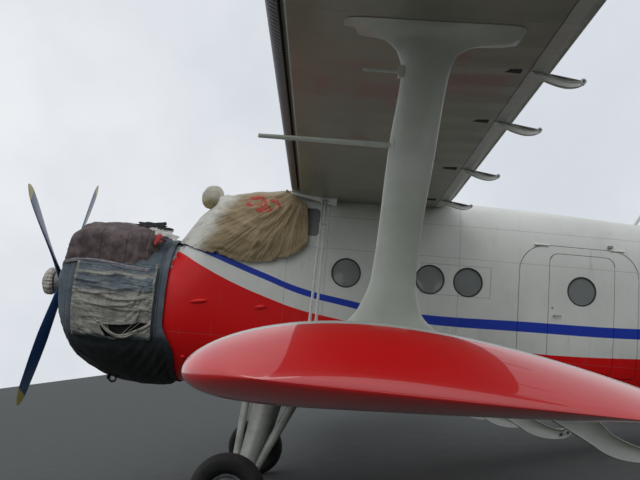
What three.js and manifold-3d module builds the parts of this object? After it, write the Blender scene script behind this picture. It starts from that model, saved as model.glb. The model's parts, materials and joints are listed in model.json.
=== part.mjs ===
// A single-engined utility biplane, parked on its tail wheel with canvas covers on its engine,
// propeller hub and cockpit. Its flaps and ailerons are off, so the hinge arms stand bare behind
// both wings.
//
// The airframe is modelled in body axes, in millimetres: x forward, y to port, z up, with the
// propeller disc at x = 0 and the thrust line at z = 0. A station is a distance aft of the disc.
// The finished airframe is then tipped nose up to its parked attitude and stood on the ground.
import * as THREE from "three";
import { mergeVertices } from "three/addons/utils/BufferGeometryUtils.js";
import Module from "manifold-3d";

const wasm = await Module();
wasm.setup();

const GROUND_ANGLE = THREE.MathUtils.degToRad(11.94);
const FIT_GAP = 0.4; // between pieces that sit on each other
const MOVE_GAP = 6; // round a panel that swings

const FUSELAGE = {
  firewall: 1620,
  cabinFront: 3400,
  cabinRear: 7450,
  tail: 11480,
  wall: 45,
  ringPoints: 28,
};
// station, half width, top, bottom, squareness of the section
const FUSELAGE_SECTIONS = [
  [1620, 845, 610, -1120, 2.4],
  [1830, 860, 860, -1140, 2.6],
  [2060, 868, 1230, -1150, 2.9],
  [2450, 868, 1320, -1165, 3.3],
  [2950, 865, 1370, -1175, 3.7],
  [3400, 862, 1385, -1175, 4],
  [5300, 862, 1385, -1175, 4],
  [6200, 850, 1360, -1140, 3.8],
  [7450, 780, 1305, -1010, 3.3],
  [8600, 640, 1215, -760, 2.8],
  [9800, 450, 1110, -430, 2.5],
  [10700, 285, 1020, -170, 2.3],
  [11100, 200, 960, -20, 2.2],
  [11480, 110, 860, 180, 2],
];
// The cowling and its cover end at the nose section.
const COVER_END = FUSELAGE.firewall - FIT_GAP;
const COWL_SECTIONS = [
  [230, 560, 470, -560, 2.1],
  [330, 690, 590, -720, 2.2],
  [560, 745, 660, -900, 2.3],
  [1000, 790, 660, -1040, 2.4],
  [COVER_END, 835, 600, -1095, 2.4],
];
const ENGINE_COVER_SECTIONS = [
  [120, 445, 385, -440, 2.1],
  [205, 638, 540, -655, 2.2],
  [365, 775, 640, -900, 2.3],
  [625, 800, 700, -1030, 2.3],
  [1000, 830, 705, -1110, 2.4],
  [1400, 862, 670, -1130, 2.4],
  [COVER_END, 868, 650, -1140, 2.4],
];
const COVER_LUMP_SECTIONS = [
  [140, 360, 500, 140, 2.2],
  [250, 610, 690, 90, 2.4],
  [420, 715, 810, 110, 2.6],
  [1000, 762, 830, 130, 2.6],
  [1250, 745, 800, 150, 2.5],
  [1390, 600, 700, 230, 2.2],
];
const COVER_CLOTH = 22;

// Spans across the fuselage, as distances to port, that a cut through one side or both takes.
const PORT_SIDE = [300, 1200];
const STARBOARD_SIDE = [-1200, -300];
const BOTH_SIDES = [-1200, 1200];

const WINDOW = { radius: 166, z: 338.5, pane: 6, inset: 10 };
const WINDOW_STATIONS = [3671, 4675, 5132];
const STARBOARD_WINDOW_STATIONS = [6046, 6502];
const DOOR_WINDOW_STATION = 6502;
const COCKPIT_WINDOW = { front: 2560, rear: 3312, low: 755, high: 1105, corner: 60 };

const CARGO_DOOR = { front: 5740, rear: 7200, low: -660, high: 870, corner: 330, lowCorner: 60 };
const CREW_DOOR = { front: 6100, rear: 6904, low: -643, high: 777, corner: 110 };
// The cargo door's hinge line lies outside the narrowing skin, so that the open door clears it: the
// line's two ends, and where its knuckles lie along it.
const CARGO_HINGE = { from: [5740, 845, 868], to: [7200, 749, 868], radius: 13 };
const CARGO_KNUCKLES = [
  [0.12, 0.24],
  [0.76, 0.88],
];
// The crew door swings inward about an upright pin line inside its rear edge.
const CREW_HINGE = {
  station: 6900,
  y: 700,
  radius: 14,
  heights: [-350, 500],
  tall: 60,
  lugFront: 6850,
  lugRear: 6960,
  wallY: 775,
};
const FLOOR = { top: -690, thickness: 40, front: 3420, rear: 7390 };

const ROOT_Y = 790; // where the leading edge heights below are measured
const UPPER_WING = {
  chord: 2400,
  fixedChord: 2000,
  thickness: 0.14,
  dihedral: THREE.MathUtils.degToRad(2.5),
  incidence: THREE.MathUtils.degToRad(1.8),
  leadingStation: 2926,
  leadingZ: 1347,
  rootY: 872,
  capY: 8550,
  tipY: 9090,
  tipDraw: 0.62,
  tipPower: 2.6,
  armReach: 1,
  armDrop: 1,
  slats: true,
};
const LOWER_WING = {
  chord: 2100,
  fixedChord: 1690,
  thickness: 0.15,
  dihedral: THREE.MathUtils.degToRad(2.6),
  incidence: THREE.MathUtils.degToRad(1),
  leadingStation: 2890,
  leadingZ: -925,
  rootY: 560,
  capY: 6930,
  tipY: 7290,
  tipDraw: 0.22,
  tipPower: 2.2,
  armReach: 2.1,
  armDrop: 1.62,
  slats: false,
};
const AIRFOIL = { camber: 0.03, camberAt: 0.4 };
// The hollow rear face in front of the missing flaps: how far the lower skin stops short, how thick
// the upper skin's lip is, and two points between them as shares of the way aft and up.
const COVE = {
  deep: 130,
  lip: 10,
  curve: [
    [0.2, 0.5],
    [0.35, 0.86],
  ],
};
const UPPER_ARM_Y = [1100, 2450, 3880, 4900, 6150, 7300, 8350];
const LOWER_ARM_Y = [1400, 2400, 3400, 4350, 5300, 6500];
const ARM_THICKNESS = 34;
// How far ahead of the upper skin's end a hinge arm starts, and how deep inside the wing.
const ARM_ROOT = { ahead: 260, inside: 30 };
// The arm's curves, as control point and end point: aft of the wing's edge, below it.
const ARM_CURVES = [
  [-110, 95, 40, 105],
  [150, 100, 172, 42],
  [150, 12, 118, 44],
  [60, 60, -6, -24],
];
const ARM_TOP = [-60, -40];

// The slat's inner face and the wing's nose behind it, as shares of the chord: aft, up.
const SLAT_INNER = [
  [0.135, 0.0735],
  [0.09, 0.055],
  [0.055, 0.03],
  [0.042, 0.005],
  [0.038, -0.018],
];
const NOSE_BEHIND_SLAT = [
  [0.14, 0.072],
  [0.0945, 0.0515],
  [0.06, 0.027],
  [0.047, 0.004],
  [0.043, -0.02],
];
const SLAT = { inner: 900, outer: 8420, track: 44, trackDeep: 190, trackLow: 22, trackHigh: 50 };
const SLAT_TRACK_Y = [1500, 3300, 5100, 6900, 8100];

const STRUT_Y = 5400;
// height, front station, rear station, thickness
const STRUT_SECTIONS = [
  [-720, 3330, 4460, 90],
  [-560, 3440, 4300, 110],
  [-420, 3530, 4140, 110],
  [-300, 3630, 4010, 105],
  [-100, 3700, 3965, 100],
  [700, 3752, 4036, 96],
  [1180, 3795, 4092, 100],
  [1290, 3765, 4130, 110],
  [1360, 3690, 4230, 130],
  [1410, 3560, 4500, 200],
  [1450, 3440, 4530, 320],
  [1600, 3420, 4530, 340],
];
const BOOM_SEAT = 3840; // the station, inside the strut, where both booms start
const PITOT = { z: 702, length: 880, radius: 19, tipRadius: 13 };
const SMALL_BOOM = { z: 1168, length: 280, radius: 11 };

const WIRE = {
  top: [3352, 800, 1215],
  bottom: [3372, 5080, -470],
  spacing: 21,
  width: 20,
  thickness: 9,
};
const WIRE_SPACERS = [0.3, 0.52];

const MAIN_WHEEL = { station: 2582, z: -2128, y: 1720, radius: 400, width: 260, rim: 200 };
const TAIL_WHEEL = { station: 10770, z: -565, radius: 235, width: 195, rim: 112 };
const WHEEL_SIDES = 32;
const TYRE_SIDES = 10; // round the tyre's own section
const AXLE_RADIUS = 34;
// The three legs of a main gear, from the axle to inside the belly, with their end radii. The belly
// and the wing root cut them off.
const GEAR_LEGS = [
  { from: [2600, 1500, -2090], to: [2619, 500, -840], radii: [40, 45] },
  { from: [2690, 1480, -2080], to: [2963, 472, -694], radii: [88, 175] },
  { from: [2760, 1470, -2080], to: [3384, 469, -806], radii: [38, 70] },
];
const GEAR_KNUCKLE = { front: 2500, rear: 2800, low: -2190, high: -2010, inner: 1410, outer: 1565 };

const PROPELLER = { blades: 4, firstAngle: 33.6, hubRadius: 144 };
// radius from the axis, chord, thickness, pitch in degrees; the hub cuts the first one short
const BLADE_SECTIONS = [
  [110, 100, 96, 38],
  [330, 128, 70, 27],
  [620, 174, 44, 21],
  [920, 210, 32, 17],
  [1220, 218, 24, 12],
  [1500, 206, 17, 8],
  [1620, 192, 13, 7],
  [1716, 140, 10, 6],
  [1775, 74, 8, 6],
  [1800, 26, 6, 6],
];

const FIN_HINGE = 11560;
const RUDDER_NOSE = 56;
// height, leading station
const FIN_SECTIONS = [
  [760, 9350],
  [1250, 10120],
  [2100, 10480],
  [2900, 10800],
  [3300, 11010],
  [3480, 11220],
];
// height, trailing station
const RUDDER_SECTIONS = [
  [110, 11900],
  [420, 12230],
  [1500, 12380],
  [2500, 12290],
  [3100, 12120],
  [3400, 11930],
  [3540, 11720],
];
const TAILPLANE = { z: 760, hinge: 11240, thickness: 94, tipThickness: 36 };
// distance from the centre line, leading station
const TAILPLANE_SECTIONS = [
  [120, 10260],
  [2900, 10420],
  [3380, 10560],
  [3560, 10820],
];
// distance from the centre line, trailing station
const ELEVATOR_SECTIONS = [
  [500, 11900],
  [2900, 11900],
  [3380, 11840],
  [3590, 11640],
];
const ELEVATOR_NOSE = 46;
const TORQUE_TUBE = 26;
const RUDDER_LUG_HEIGHTS = [1500, 2900];
const ELEVATOR_LUG_Y = [760, 2000, 3200];
const TAIL_STRUT = { from: [10560, 240, -60], to: [10720, 1650, 715], radius: 26 };
const MAST = { foot: [7420, 0, 1290], head: [7660, 0, 1690], width: 52, thickness: 18 };

const COLOURS = {
  white: 0xb9bbb6,
  red: 0xb5120f,
  dark: 0x2a2c2e,
  steel: 0x8b8f92,
  propeller: 0x1f2c3c,
  tyre: 0x171717,
  glass: 0x3a4446,
  canvas: 0x8f7d5f,
  quilt: 0x4f5a63,
  brown: 0x3d2526,
  beige: 0xb3a68c,
  floor: 0x6d6f6a,
};

const airframe = new THREE.Group();
const port = new THREE.Group();
const starboard = new THREE.Group();
starboard.scale.y = -1;
airframe.add(port, starboard);

function material(name) {
  const metalness = name === "steel" ? 0.7 : 0.05;
  const roughness = { tyre: 0.9, canvas: 0.95, quilt: 0.95, brown: 0.95, beige: 0.95 }[name] ?? 0.45;
  return new THREE.MeshStandardMaterial({ color: COLOURS[name], roughness, metalness });
}

function node(name, geometry, colour, parent = airframe) {
  const mesh = new THREE.Mesh(geometry, material(colour));
  mesh.name = name;
  parent.add(mesh);
  return mesh;
}

function bothSides(name, geometry, colour) {
  node(name + "_left", geometry, colour, port);
  node(name + "_right", geometry, colour, starboard);
}

// The signed volume that a closed triangle mesh holds.
function volumeOf(positions, index) {
  const corner = (i) => new THREE.Vector3(...positions[index[i]]);
  let six = 0;
  for (let i = 0; i < index.length; i += 3)
    six += corner(i).dot(corner(i + 1).cross(corner(i + 2)));
  return six / 6;
}

const apart = (a, b) => Math.hypot(a[0] - b[0], a[1] - b[1], a[2] - b[2]);

// A closed solid through rings of equally many points. Each ring is flat, and drop is the axis
// (0, 1 or 2) that is left out when its end faces are divided into triangles. Each side face is
// divided at its shorter diagonal, so that a symmetrical body stays symmetrical.
function loft(rings, drop) {
  const count = rings[0].length;
  const positions = rings.flat();
  const index = [];
  for (let r = 0; r + 1 < rings.length; r++)
    for (let i = 0; i < count; i++) {
      const a = r * count + i;
      const b = r * count + ((i + 1) % count);
      const [c, d] = [a + count, b + count];
      if (apart(positions[a], positions[d]) < apart(positions[b], positions[c]) - 1e-6)
        index.push(a, b, d, a, d, c);
      else index.push(a, b, c, b, d, c);
    }
  const flat = (ring) => ring.map((p) => new THREE.Vector2(p[(drop + 1) % 3], p[(drop + 2) % 3]));
  const turn = (ring) => Math.sign(THREE.ShapeUtils.area(flat(ring)));
  const last = (rings.length - 1) * count;
  for (const [ring, start, wanted] of [
    [rings[0], 0, -1],
    [rings.at(-1), last, 1],
  ]) {
    const side = turn(ring);
    for (const face of THREE.ShapeUtils.triangulateShape(flat(ring), [])) {
      const way = Math.sign(THREE.ShapeUtils.area(face.map((i) => flat(ring)[i])));
      const [a, b, c] = way === side * wanted ? face : [face[0], face[2], face[1]];
      index.push(start + a, start + b, start + c);
    }
  }
  if (volumeOf(positions, index) < 0) index.reverse();
  const geometry = new THREE.BufferGeometry();
  geometry.setAttribute("position", new THREE.Float32BufferAttribute(positions.flat(), 3));
  geometry.setIndex(index);
  return geometry;
}

function solid(geometry) {
  const bare = geometry.clone();
  bare.deleteAttribute("normal");
  bare.deleteAttribute("uv");
  const merged = mergeVertices(bare, 1e-3);
  return new wasm.Manifold(
    new wasm.Mesh({
      numProp: 3,
      vertProperties: new Float32Array(merged.attributes.position.array),
      triVerts: new Uint32Array(merged.index.array),
    }),
  );
}

function geometryOf(made) {
  const mesh = made.getMesh();
  const geometry = new THREE.BufferGeometry();
  geometry.setAttribute("position", new THREE.Float32BufferAttribute(mesh.vertProperties, 3));
  geometry.setIndex([...mesh.triVerts]);
  return geometry;
}

const largest = (made) => made.decompose().sort((a, b) => b.volume() - a.volume())[0];
const join = (...solids) => solids.reduce((sum, next) => sum.add(next));
const cut = (from, ...solids) => solids.reduce((rest, next) => rest.subtract(next), from);

function placed(geometry, ...matrices) {
  for (const matrix of matrices) geometry.applyMatrix4(matrix);
  return geometry;
}

const moveTo = (x, y, z) => new THREE.Matrix4().makeTranslation(x, y, z);
const turnX = (angle) => new THREE.Matrix4().makeRotationX(angle);
const turnY = (angle) => new THREE.Matrix4().makeRotationY(angle);
const turnZ = (angle) => new THREE.Matrix4().makeRotationZ(angle);

// A box between two stations, two distances from the centre line and two heights.
function block(front, rear, inner, outer, low, high) {
  const box = new THREE.BoxGeometry(rear - front, outer - inner, high - low);
  return solid(box.translate(-(front + rear) / 2, (inner + outer) / 2, (low + high) / 2));
}

// The radius of a twelve-sided bore that a twelve-sided bar of this radius can turn in.
const boreFor = (radius) => radius / Math.cos(Math.PI / 12) + FIT_GAP;

// A round bar between two points given as station, distance to port, height.
function bar(from, to, startRadius, endRadius = startRadius, sides = 12) {
  const a = new THREE.Vector3(-from[0], from[1], from[2]);
  const b = new THREE.Vector3(-to[0], to[1], to[2]);
  const along = b.clone().sub(a);
  const geometry = new THREE.CylinderGeometry(endRadius, startRadius, along.length(), sides);
  const turn = new THREE.Quaternion().setFromUnitVectors(
    new THREE.Vector3(0, 1, 0),
    along.clone().normalize(),
  );
  geometry.applyQuaternion(turn);
  return solid(geometry.translate(...a.add(b).multiplyScalar(0.5).toArray()));
}

// A side view outline, in station and height, made into a slab between two distances to port.
function sideSlab(outline, inner, outer) {
  const geometry = new THREE.ExtrudeGeometry(outline, {
    depth: outer - inner,
    bevelEnabled: false,
    curveSegments: 4,
  });
  return solid(placed(geometry, turnX(Math.PI / 2), moveTo(0, outer, 0)));
}

function roundedOutline({ front, rear, low, high, corner }, grow = 0, lowCorner = corner) {
  const [f, r, l, h] = [-(front - grow), -(rear + grow), low - grow, high + grow];
  const outline = new THREE.Shape();
  outline.moveTo(f, l + lowCorner);
  outline.lineTo(f, h - corner);
  outline.quadraticCurveTo(f, h, f - corner, h);
  outline.lineTo(r + corner, h);
  outline.quadraticCurveTo(r, h, r, h - corner);
  outline.lineTo(r, l + lowCorner);
  outline.quadraticCurveTo(r, l, r + lowCorner, l);
  outline.lineTo(f - lowCorner, l);
  outline.quadraticCurveTo(f, l, f, l + lowCorner);
  return outline;
}

// One ring of a fuselage-like body: a rounded box that squareness makes fuller.
function bodyRing([station, halfWidth, top, bottom, squareness], grow = 0) {
  const middle = (top + bottom) / 2;
  const halfHeight = (top - bottom) / 2 + grow;
  const ring = [];
  for (let i = 0; i < FUSELAGE.ringPoints; i++) {
    const angle = ((i + 0.5) / FUSELAGE.ringPoints) * 2 * Math.PI;
    const [c, s] = [Math.cos(angle), Math.sin(angle)];
    ring.push([
      -station,
      Math.sign(c) * (halfWidth + grow) * Math.abs(c) ** (2 / squareness),
      middle + Math.sign(s) * halfHeight * Math.abs(s) ** (2 / squareness),
    ]);
  }
  return ring;
}

// The section at any station, between the table's sections.
function sectionAt(table, station) {
  const next = table.findIndex((section) => section[0] >= station);
  if (next <= 0) return [station, ...table.at(next).slice(1)];
  const [a, b] = [table[next - 1], table[next]];
  const share = (station - a[0]) / (b[0] - a[0]);
  return a.map((value, i) => THREE.MathUtils.lerp(value, b[i], share));
}

function body(table, front, rear, grow = 0) {
  const between = table.filter(([station]) => station > front + 1 && station < rear - 1);
  const sections = [sectionAt(table, front), ...between, sectionAt(table, rear)];
  return solid(
    loft(
      sections.map((section) => bodyRing(section, grow)),
      0,
    ),
  );
}

function windowHole(station, radius, from, to) {
  const tube = new THREE.CylinderGeometry(radius, radius, to - from, 20);
  return solid(tube.translate(-station, (from + to) / 2, WINDOW.z));
}

// A sheet of the skin's own curve, as thick as a pane and set in from the skin.
function paneSheet(front, rear) {
  const { inset, pane } = WINDOW;
  return cut(
    body(FUSELAGE_SECTIONS, front, rear, -inset),
    body(FUSELAGE_SECTIONS, front - 10, rear + 10, -inset - pane),
  );
}

function windowPane(station, side) {
  const disc = windowHole(station, WINDOW.radius - FIT_GAP, ...side);
  const sheet = paneSheet(station - 1.5 * WINDOW.radius, station + 1.5 * WINDOW.radius);
  return geometryOf(disc.intersect(sheet));
}

const wholeFuselage = (grow) =>
  body(FUSELAGE_SECTIONS, FUSELAGE.firewall - grow, FUSELAGE.tail + grow, grow);

function buildNose() {
  const { firewall, cabinFront, wall } = FUSELAGE;
  const outer = body(FUSELAGE_SECTIONS, firewall, cabinFront);
  const inner = body(FUSELAGE_SECTIONS, firewall + wall, cabinFront + 10, -wall);
  const opening = sideSlab(roundedOutline(COCKPIT_WINDOW), ...BOTH_SIDES);
  node("nose_shell", geometryOf(cut(outer, inner, opening)), "white");

  const sheet = paneSheet(COCKPIT_WINDOW.front - 50, COCKPIT_WINDOW.rear + 50);
  const pane = sideSlab(roundedOutline(COCKPIT_WINDOW, -FIT_GAP), ...PORT_SIDE);
  bothSides("cockpit_window", geometryOf(pane.intersect(sheet)), "glass");
}

function cabinWall(front, rear) {
  const { wall, cabinRear } = FUSELAGE;
  return cut(
    body(FUSELAGE_SECTIONS, front, rear),
    body(FUSELAGE_SECTIONS, front - 10, Math.min(rear + 10, cabinRear - wall), -wall),
  );
}

function buildCabin() {
  const { cabinFront, cabinRear } = FUSELAGE;
  const holes = WINDOW_STATIONS.map((station) =>
    windowHole(station, WINDOW.radius, ...BOTH_SIDES),
  );
  const starboardHoles = STARBOARD_WINDOW_STATIONS.map((station) =>
    windowHole(station, WINDOW.radius, ...STARBOARD_SIDE),
  );
  const doorway = sideSlab(roundedOutline(CARGO_DOOR, 0, CARGO_DOOR.lowCorner), ...PORT_SIDE);
  const shell = cut(
    cabinWall(cabinFront + FIT_GAP, cabinRear),
    ...holes,
    ...starboardHoles,
    doorway,
    ...cargoKnuckles(FIT_GAP),
  );
  node("cabin_shell", geometryOf(shell), "white");

  WINDOW_STATIONS.forEach((station, i) => {
    node("window_pane_left_" + (i + 1), windowPane(station, PORT_SIDE), "glass");
    node("window_pane_right_" + (i + 1), windowPane(station, STARBOARD_SIDE), "glass");
  });
  STARBOARD_WINDOW_STATIONS.forEach((station, i) =>
    node("window_pane_right_" + (i + 4), windowPane(station, STARBOARD_SIDE), "glass"),
  );

  const inside = body(FUSELAGE_SECTIONS, FLOOR.front, FLOOR.rear, -FUSELAGE.wall - FIT_GAP);
  const slab = block(FLOOR.front, FLOOR.rear, ...BOTH_SIDES, FLOOR.top - FLOOR.thickness, FLOOR.top);
  node("cabin_floor", geometryOf(inside.intersect(slab)), "floor");
}

// The round knuckles on the cargo door's hinge line, or with grow the hollows they turn in.
function cargoKnuckles(grow) {
  const { from, to, radius } = CARGO_HINGE;
  const point = (share) => from.map((value, i) => THREE.MathUtils.lerp(value, to[i], share));
  return CARGO_KNUCKLES.map(([start, end]) =>
    bar(point(start - grow / 1000), point(end + grow / 1000), grow ? boreFor(radius) : radius),
  );
}

// A hinge of the crew door on the upright pin line: a knuckle and the lug that carries it from the
// inner face of the wall. The cargo door's own knuckle lies just below the crew door's.
function crewHinge(low, high, front, rear) {
  const { station, y, radius, wallY } = CREW_HINGE;
  const knuckle = bar([station, y, low], [station, y, high], radius);
  return join(knuckle, block(front, rear, y - radius, wallY, low, high));
}

function buildDoors() {
  const wall = cabinWall(CARGO_DOOR.front - 100, CARGO_DOOR.rear + 100);
  const panel = sideSlab(roundedOutline(CARGO_DOOR, -MOVE_GAP, CARGO_DOOR.lowCorner), ...PORT_SIDE);
  const doorway = sideSlab(roundedOutline(CREW_DOOR), ...PORT_SIDE);
  const { heights, tall, station, lugFront, lugRear } = CREW_HINGE;
  const brackets = heights.map((z) => crewHinge(z - tall, z - FIT_GAP, station + MOVE_GAP, lugRear));
  const frame = cut(wall.intersect(panel), doorway);
  node("cargo_door", geometryOf(join(frame, ...cargoKnuckles(0), ...brackets)), "white");

  const crewPanel = sideSlab(roundedOutline(CREW_DOOR, -MOVE_GAP), ...PORT_SIDE);
  const hole = windowHole(DOOR_WINDOW_STATION, WINDOW.radius, ...PORT_SIDE);
  const lugs = heights.map((z) => crewHinge(z, z + tall, lugFront, station - MOVE_GAP));
  const crew = join(cut(wall.intersect(crewPanel), hole), ...lugs);
  node("crew_door", geometryOf(crew), "white");
  node("crew_door_pane", windowPane(DOOR_WINDOW_STATION, PORT_SIDE), "glass");
}

function buildRearFuselage() {
  const whole = body(FUSELAGE_SECTIONS, FUSELAGE.cabinRear + FIT_GAP, FUSELAGE.tail);
  const tube = bar(
    [TAILPLANE.hinge, -700, TAILPLANE.z],
    [TAILPLANE.hinge, 700, TAILPLANE.z],
    TORQUE_TUBE + MOVE_GAP,
  );
  node("rear_fuselage", geometryOf(cut(whole, tube)), "white");
}

// The wing section's upper (side = 1) or lower (side = -1) height at a share of the chord.
function airfoil(share, side, thickness) {
  const { camber, camberAt } = AIRFOIL;
  const powers = [Math.sqrt(share), share, share ** 2, share ** 3, share ** 4];
  const factors = [0.2969, -0.126, -0.3516, 0.2843, -0.1036]; // the usual four-digit section
  const half = 5 * thickness * factors.reduce((sum, factor, i) => sum + factor * powers[i], 0);
  const before = share < camberAt;
  const line = before
    ? (camber / camberAt ** 2) * (2 * camberAt * share - share ** 2)
    : (camber / (1 - camberAt) ** 2) * (1 - 2 * camberAt + 2 * camberAt * share - share ** 2);
  return line + side * half;
}

const ONE_SIDE = [0.0125, 0.05, 0.12, 0.22, 0.36, 0.52, 0.68];

// The points of one side of the section at several shares of the chord.
const sideOf = (wing, side, shares) =>
  shares.map((share) => [share, airfoil(share, side, wing.thickness)]);

// The end of the underside and the hollow above it, up to the end of the upper skin.
function coveOf({ chord, fixedChord, thickness }) {
  const end = fixedChord / chord;
  const stop = end - COVE.deep / chord;
  const low = airfoil(stop, -1, thickness);
  const lip = airfoil(end, 1, thickness) - COVE.lip / chord;
  return [[0, 0], ...COVE.curve, [1, 1]].map(([aft, up]) => [
    stop + aft * (end - stop),
    low + up * (lip - low),
  ]);
}

// The outline of a whole section, or of one that ends in the hollow, as aft and up shares.
function plainOutline(wing, whole) {
  const end = whole ? 1 : wing.fixedChord / wing.chord;
  const top = sideOf(wing, 1, [...ONE_SIDE, end]).reverse();
  const bottom = sideOf(wing, -1, ONE_SIDE);
  const rear = whole ? sideOf(wing, -1, [end]) : coveOf(wing);
  return [...top, [0, 0], ...bottom, ...rear];
}

function outlineBehindSlat(wing) {
  const end = wing.fixedChord / wing.chord;
  const top = sideOf(wing, 1, [end, 0.68, 0.52, 0.36, 0.22, 0.16]);
  const bottom = sideOf(wing, -1, [0.045, 0.12, 0.22, 0.36, 0.52, 0.68]);
  return [...top, ...NOSE_BEHIND_SLAT, ...bottom, ...coveOf(wing)];
}

function slatOutline() {
  const bottom = sideOf(UPPER_WING, -1, [0.03, 0.0125]);
  const top = sideOf(UPPER_WING, 1, [0.0125, 0.05, 0.1, 0.14]);
  return [...bottom, [0, 0], ...top, ...SLAT_INNER];
}

// Rings of one outline along the span, in the wing's own axes: x aft from the leading edge.
function spanLoft(outline, sections) {
  return solid(
    loft(
      sections.map(({ y, chord, lead, rise, thin = 1 }) =>
        outline.map(([aft, up]) => [-(lead + aft * chord), y, rise + thin * up * chord]),
      ),
      1,
    ),
  );
}

// A blunt rounded tip: the chord draws in and the section thins towards the end.
function tipSections({ chord, capY, tipY, tipDraw, tipPower }) {
  return [0, 0.5, 0.8, 0.94, 1].map((share) => {
    const left = (1 - share ** tipPower) ** (1 / tipPower);
    const drawn = (1 - left) * chord;
    return {
      y: capY + share * (tipY - capY),
      chord: chord - tipDraw * drawn,
      lead: 0.32 * tipDraw * drawn,
      rise: 0,
      thin: Math.max(left, 0.3),
    };
  });
}

// Stands a wing's own axes in the airframe: incidence, then dihedral about the root.
function wingMatrix({ incidence, dihedral, leadingStation, leadingZ }) {
  return new THREE.Matrix4()
    .multiply(moveTo(-leadingStation, ROOT_Y, leadingZ))
    .multiply(turnX(dihedral))
    .multiply(turnY(-incidence))
    .multiply(moveTo(0, -ROOT_Y, 0));
}

const standWing = (made, wing) => solid(placed(geometryOf(made), wingMatrix(wing)));

// A curved hinge arm that hangs below the wing and ends in an eye behind its trailing edge.
function hingeArm(wing, y) {
  const { chord, fixedChord, thickness, armReach, armDrop } = wing;
  const under = (aft) => airfoil(aft / chord, -1, thickness) * chord;
  const place = (aft, down) => [-fixedChord - armReach * aft, under(fixedChord) - armDrop * down];
  const start = fixedChord - ARM_ROOT.ahead;
  const outline = new THREE.Shape();
  outline.moveTo(-start, under(start) + ARM_ROOT.inside);
  for (const [controlAft, controlDown, aft, down] of ARM_CURVES)
    outline.quadraticCurveTo(...place(controlAft, controlDown), ...place(aft, down));
  outline.lineTo(...place(...ARM_TOP));
  outline.closePath();
  return sideSlab(outline, y - ARM_THICKNESS / 2, y + ARM_THICKNESS / 2);
}

function buildWing(name, wing, armPlaces, fuselage, capColour) {
  const full = { chord: wing.chord, lead: 0, rise: 0 };
  const outline = wing.slats ? outlineBehindSlat(wing) : plainOutline(wing, false);
  const main = spanLoft(outline, [
    { ...full, y: wing.rootY - 100 },
    { ...full, y: wing.capY + 1 },
  ]);
  const cap = spanLoft(plainOutline(wing, true), tipSections(wing));
  const arms = armPlaces.map((y) => hingeArm(wing, y));
  let made = join(main, cap, ...arms);
  if (wing.slats) {
    made = cut(made, ...SLAT_TRACK_Y.map((y) => slatTrack(y, FIT_GAP)));
    const slat = spanLoft(slatOutline(), [
      { ...full, y: SLAT.inner },
      { ...full, y: SLAT.outer },
    ]);
    const whole = join(slat, ...SLAT_TRACK_Y.map((y) => slatTrack(y, 0)));
    bothSides("slat", geometryOf(standWing(whole, wing)), "dark");
  }
  const inboard = block(0, 9000, -900, wing.rootY, -2500, 2500);
  const stood = cut(standWing(made, wing), fuselage, inboard);
  bothSides(name, geometryOf(stood), capColour);
  return stood;
}

// A tongue behind the slat, or with grow the slot in the wing that it slides in.
function slatTrack(y, grow) {
  const { track, trackDeep, trackLow, trackHigh } = SLAT;
  const front = 0.036 * UPPER_WING.chord; // inside the slat
  return block(
    front - (grow ? track : 0),
    front + trackDeep + grow,
    y - track / 2 - grow,
    y + track / 2 + grow,
    trackLow - grow,
    trackHigh + grow,
  );
}

function buildCentreSection(fuselage) {
  const { chord, leadingStation, leadingZ, incidence, rootY } = UPPER_WING;
  const full = { chord, lead: 0, rise: 0 };
  const inner = rootY - FIT_GAP - 2;
  const flat = spanLoft(plainOutline(UPPER_WING, false), [
    { ...full, y: -inner },
    { ...full, y: inner },
  ]);
  const stand = new THREE.Matrix4()
    .multiply(moveTo(-leadingStation, 0, leadingZ + 4))
    .multiply(turnY(-incidence));
  const made = cut(solid(placed(geometryOf(flat), stand)), fuselage);
  const whole = largest(made);
  node("wing_centre_section", geometryOf(whole), "white");
  return whole;
}

function buildStrut(upper, lower) {
  const ring = ([z, front, rear, thickness]) => {
    const [middle, half] = [(front + rear) / 2, (rear - front) / 2];
    return [0, 1, 2, 3, 4, 5, 6, 7, 8, 9, 10, 11].map((i) => {
      const angle = (i / 12) * 2 * Math.PI;
      return [
        -middle + half * Math.cos(angle),
        STRUT_Y + (thickness / 2) * Math.sin(angle),
        z,
      ];
    });
  };
  const column = solid(loft(STRUT_SECTIONS.map(ring), 2));
  const lifted = (made, rise) => solid(geometryOf(made).translate(0, 0, rise));
  const seated = cut(column, lifted(upper, -FIT_GAP), lifted(lower, FIT_GAP));
  const main = largest(seated);
  node("interplane_strut_right", geometryOf(main), "white", starboard);
  const boom = bar(
    [BOOM_SEAT, STRUT_Y, PITOT.z],
    [BOOM_SEAT - PITOT.length, STRUT_Y, PITOT.z],
    PITOT.radius,
    PITOT.tipRadius,
    10,
  );
  const small = bar(
    [BOOM_SEAT, STRUT_Y, SMALL_BOOM.z],
    [BOOM_SEAT - SMALL_BOOM.length, STRUT_Y, SMALL_BOOM.z],
    SMALL_BOOM.radius,
    SMALL_BOOM.radius,
    8,
  );
  node("interplane_strut_left", geometryOf(join(main, boom, small)), "white", port);
}

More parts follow.
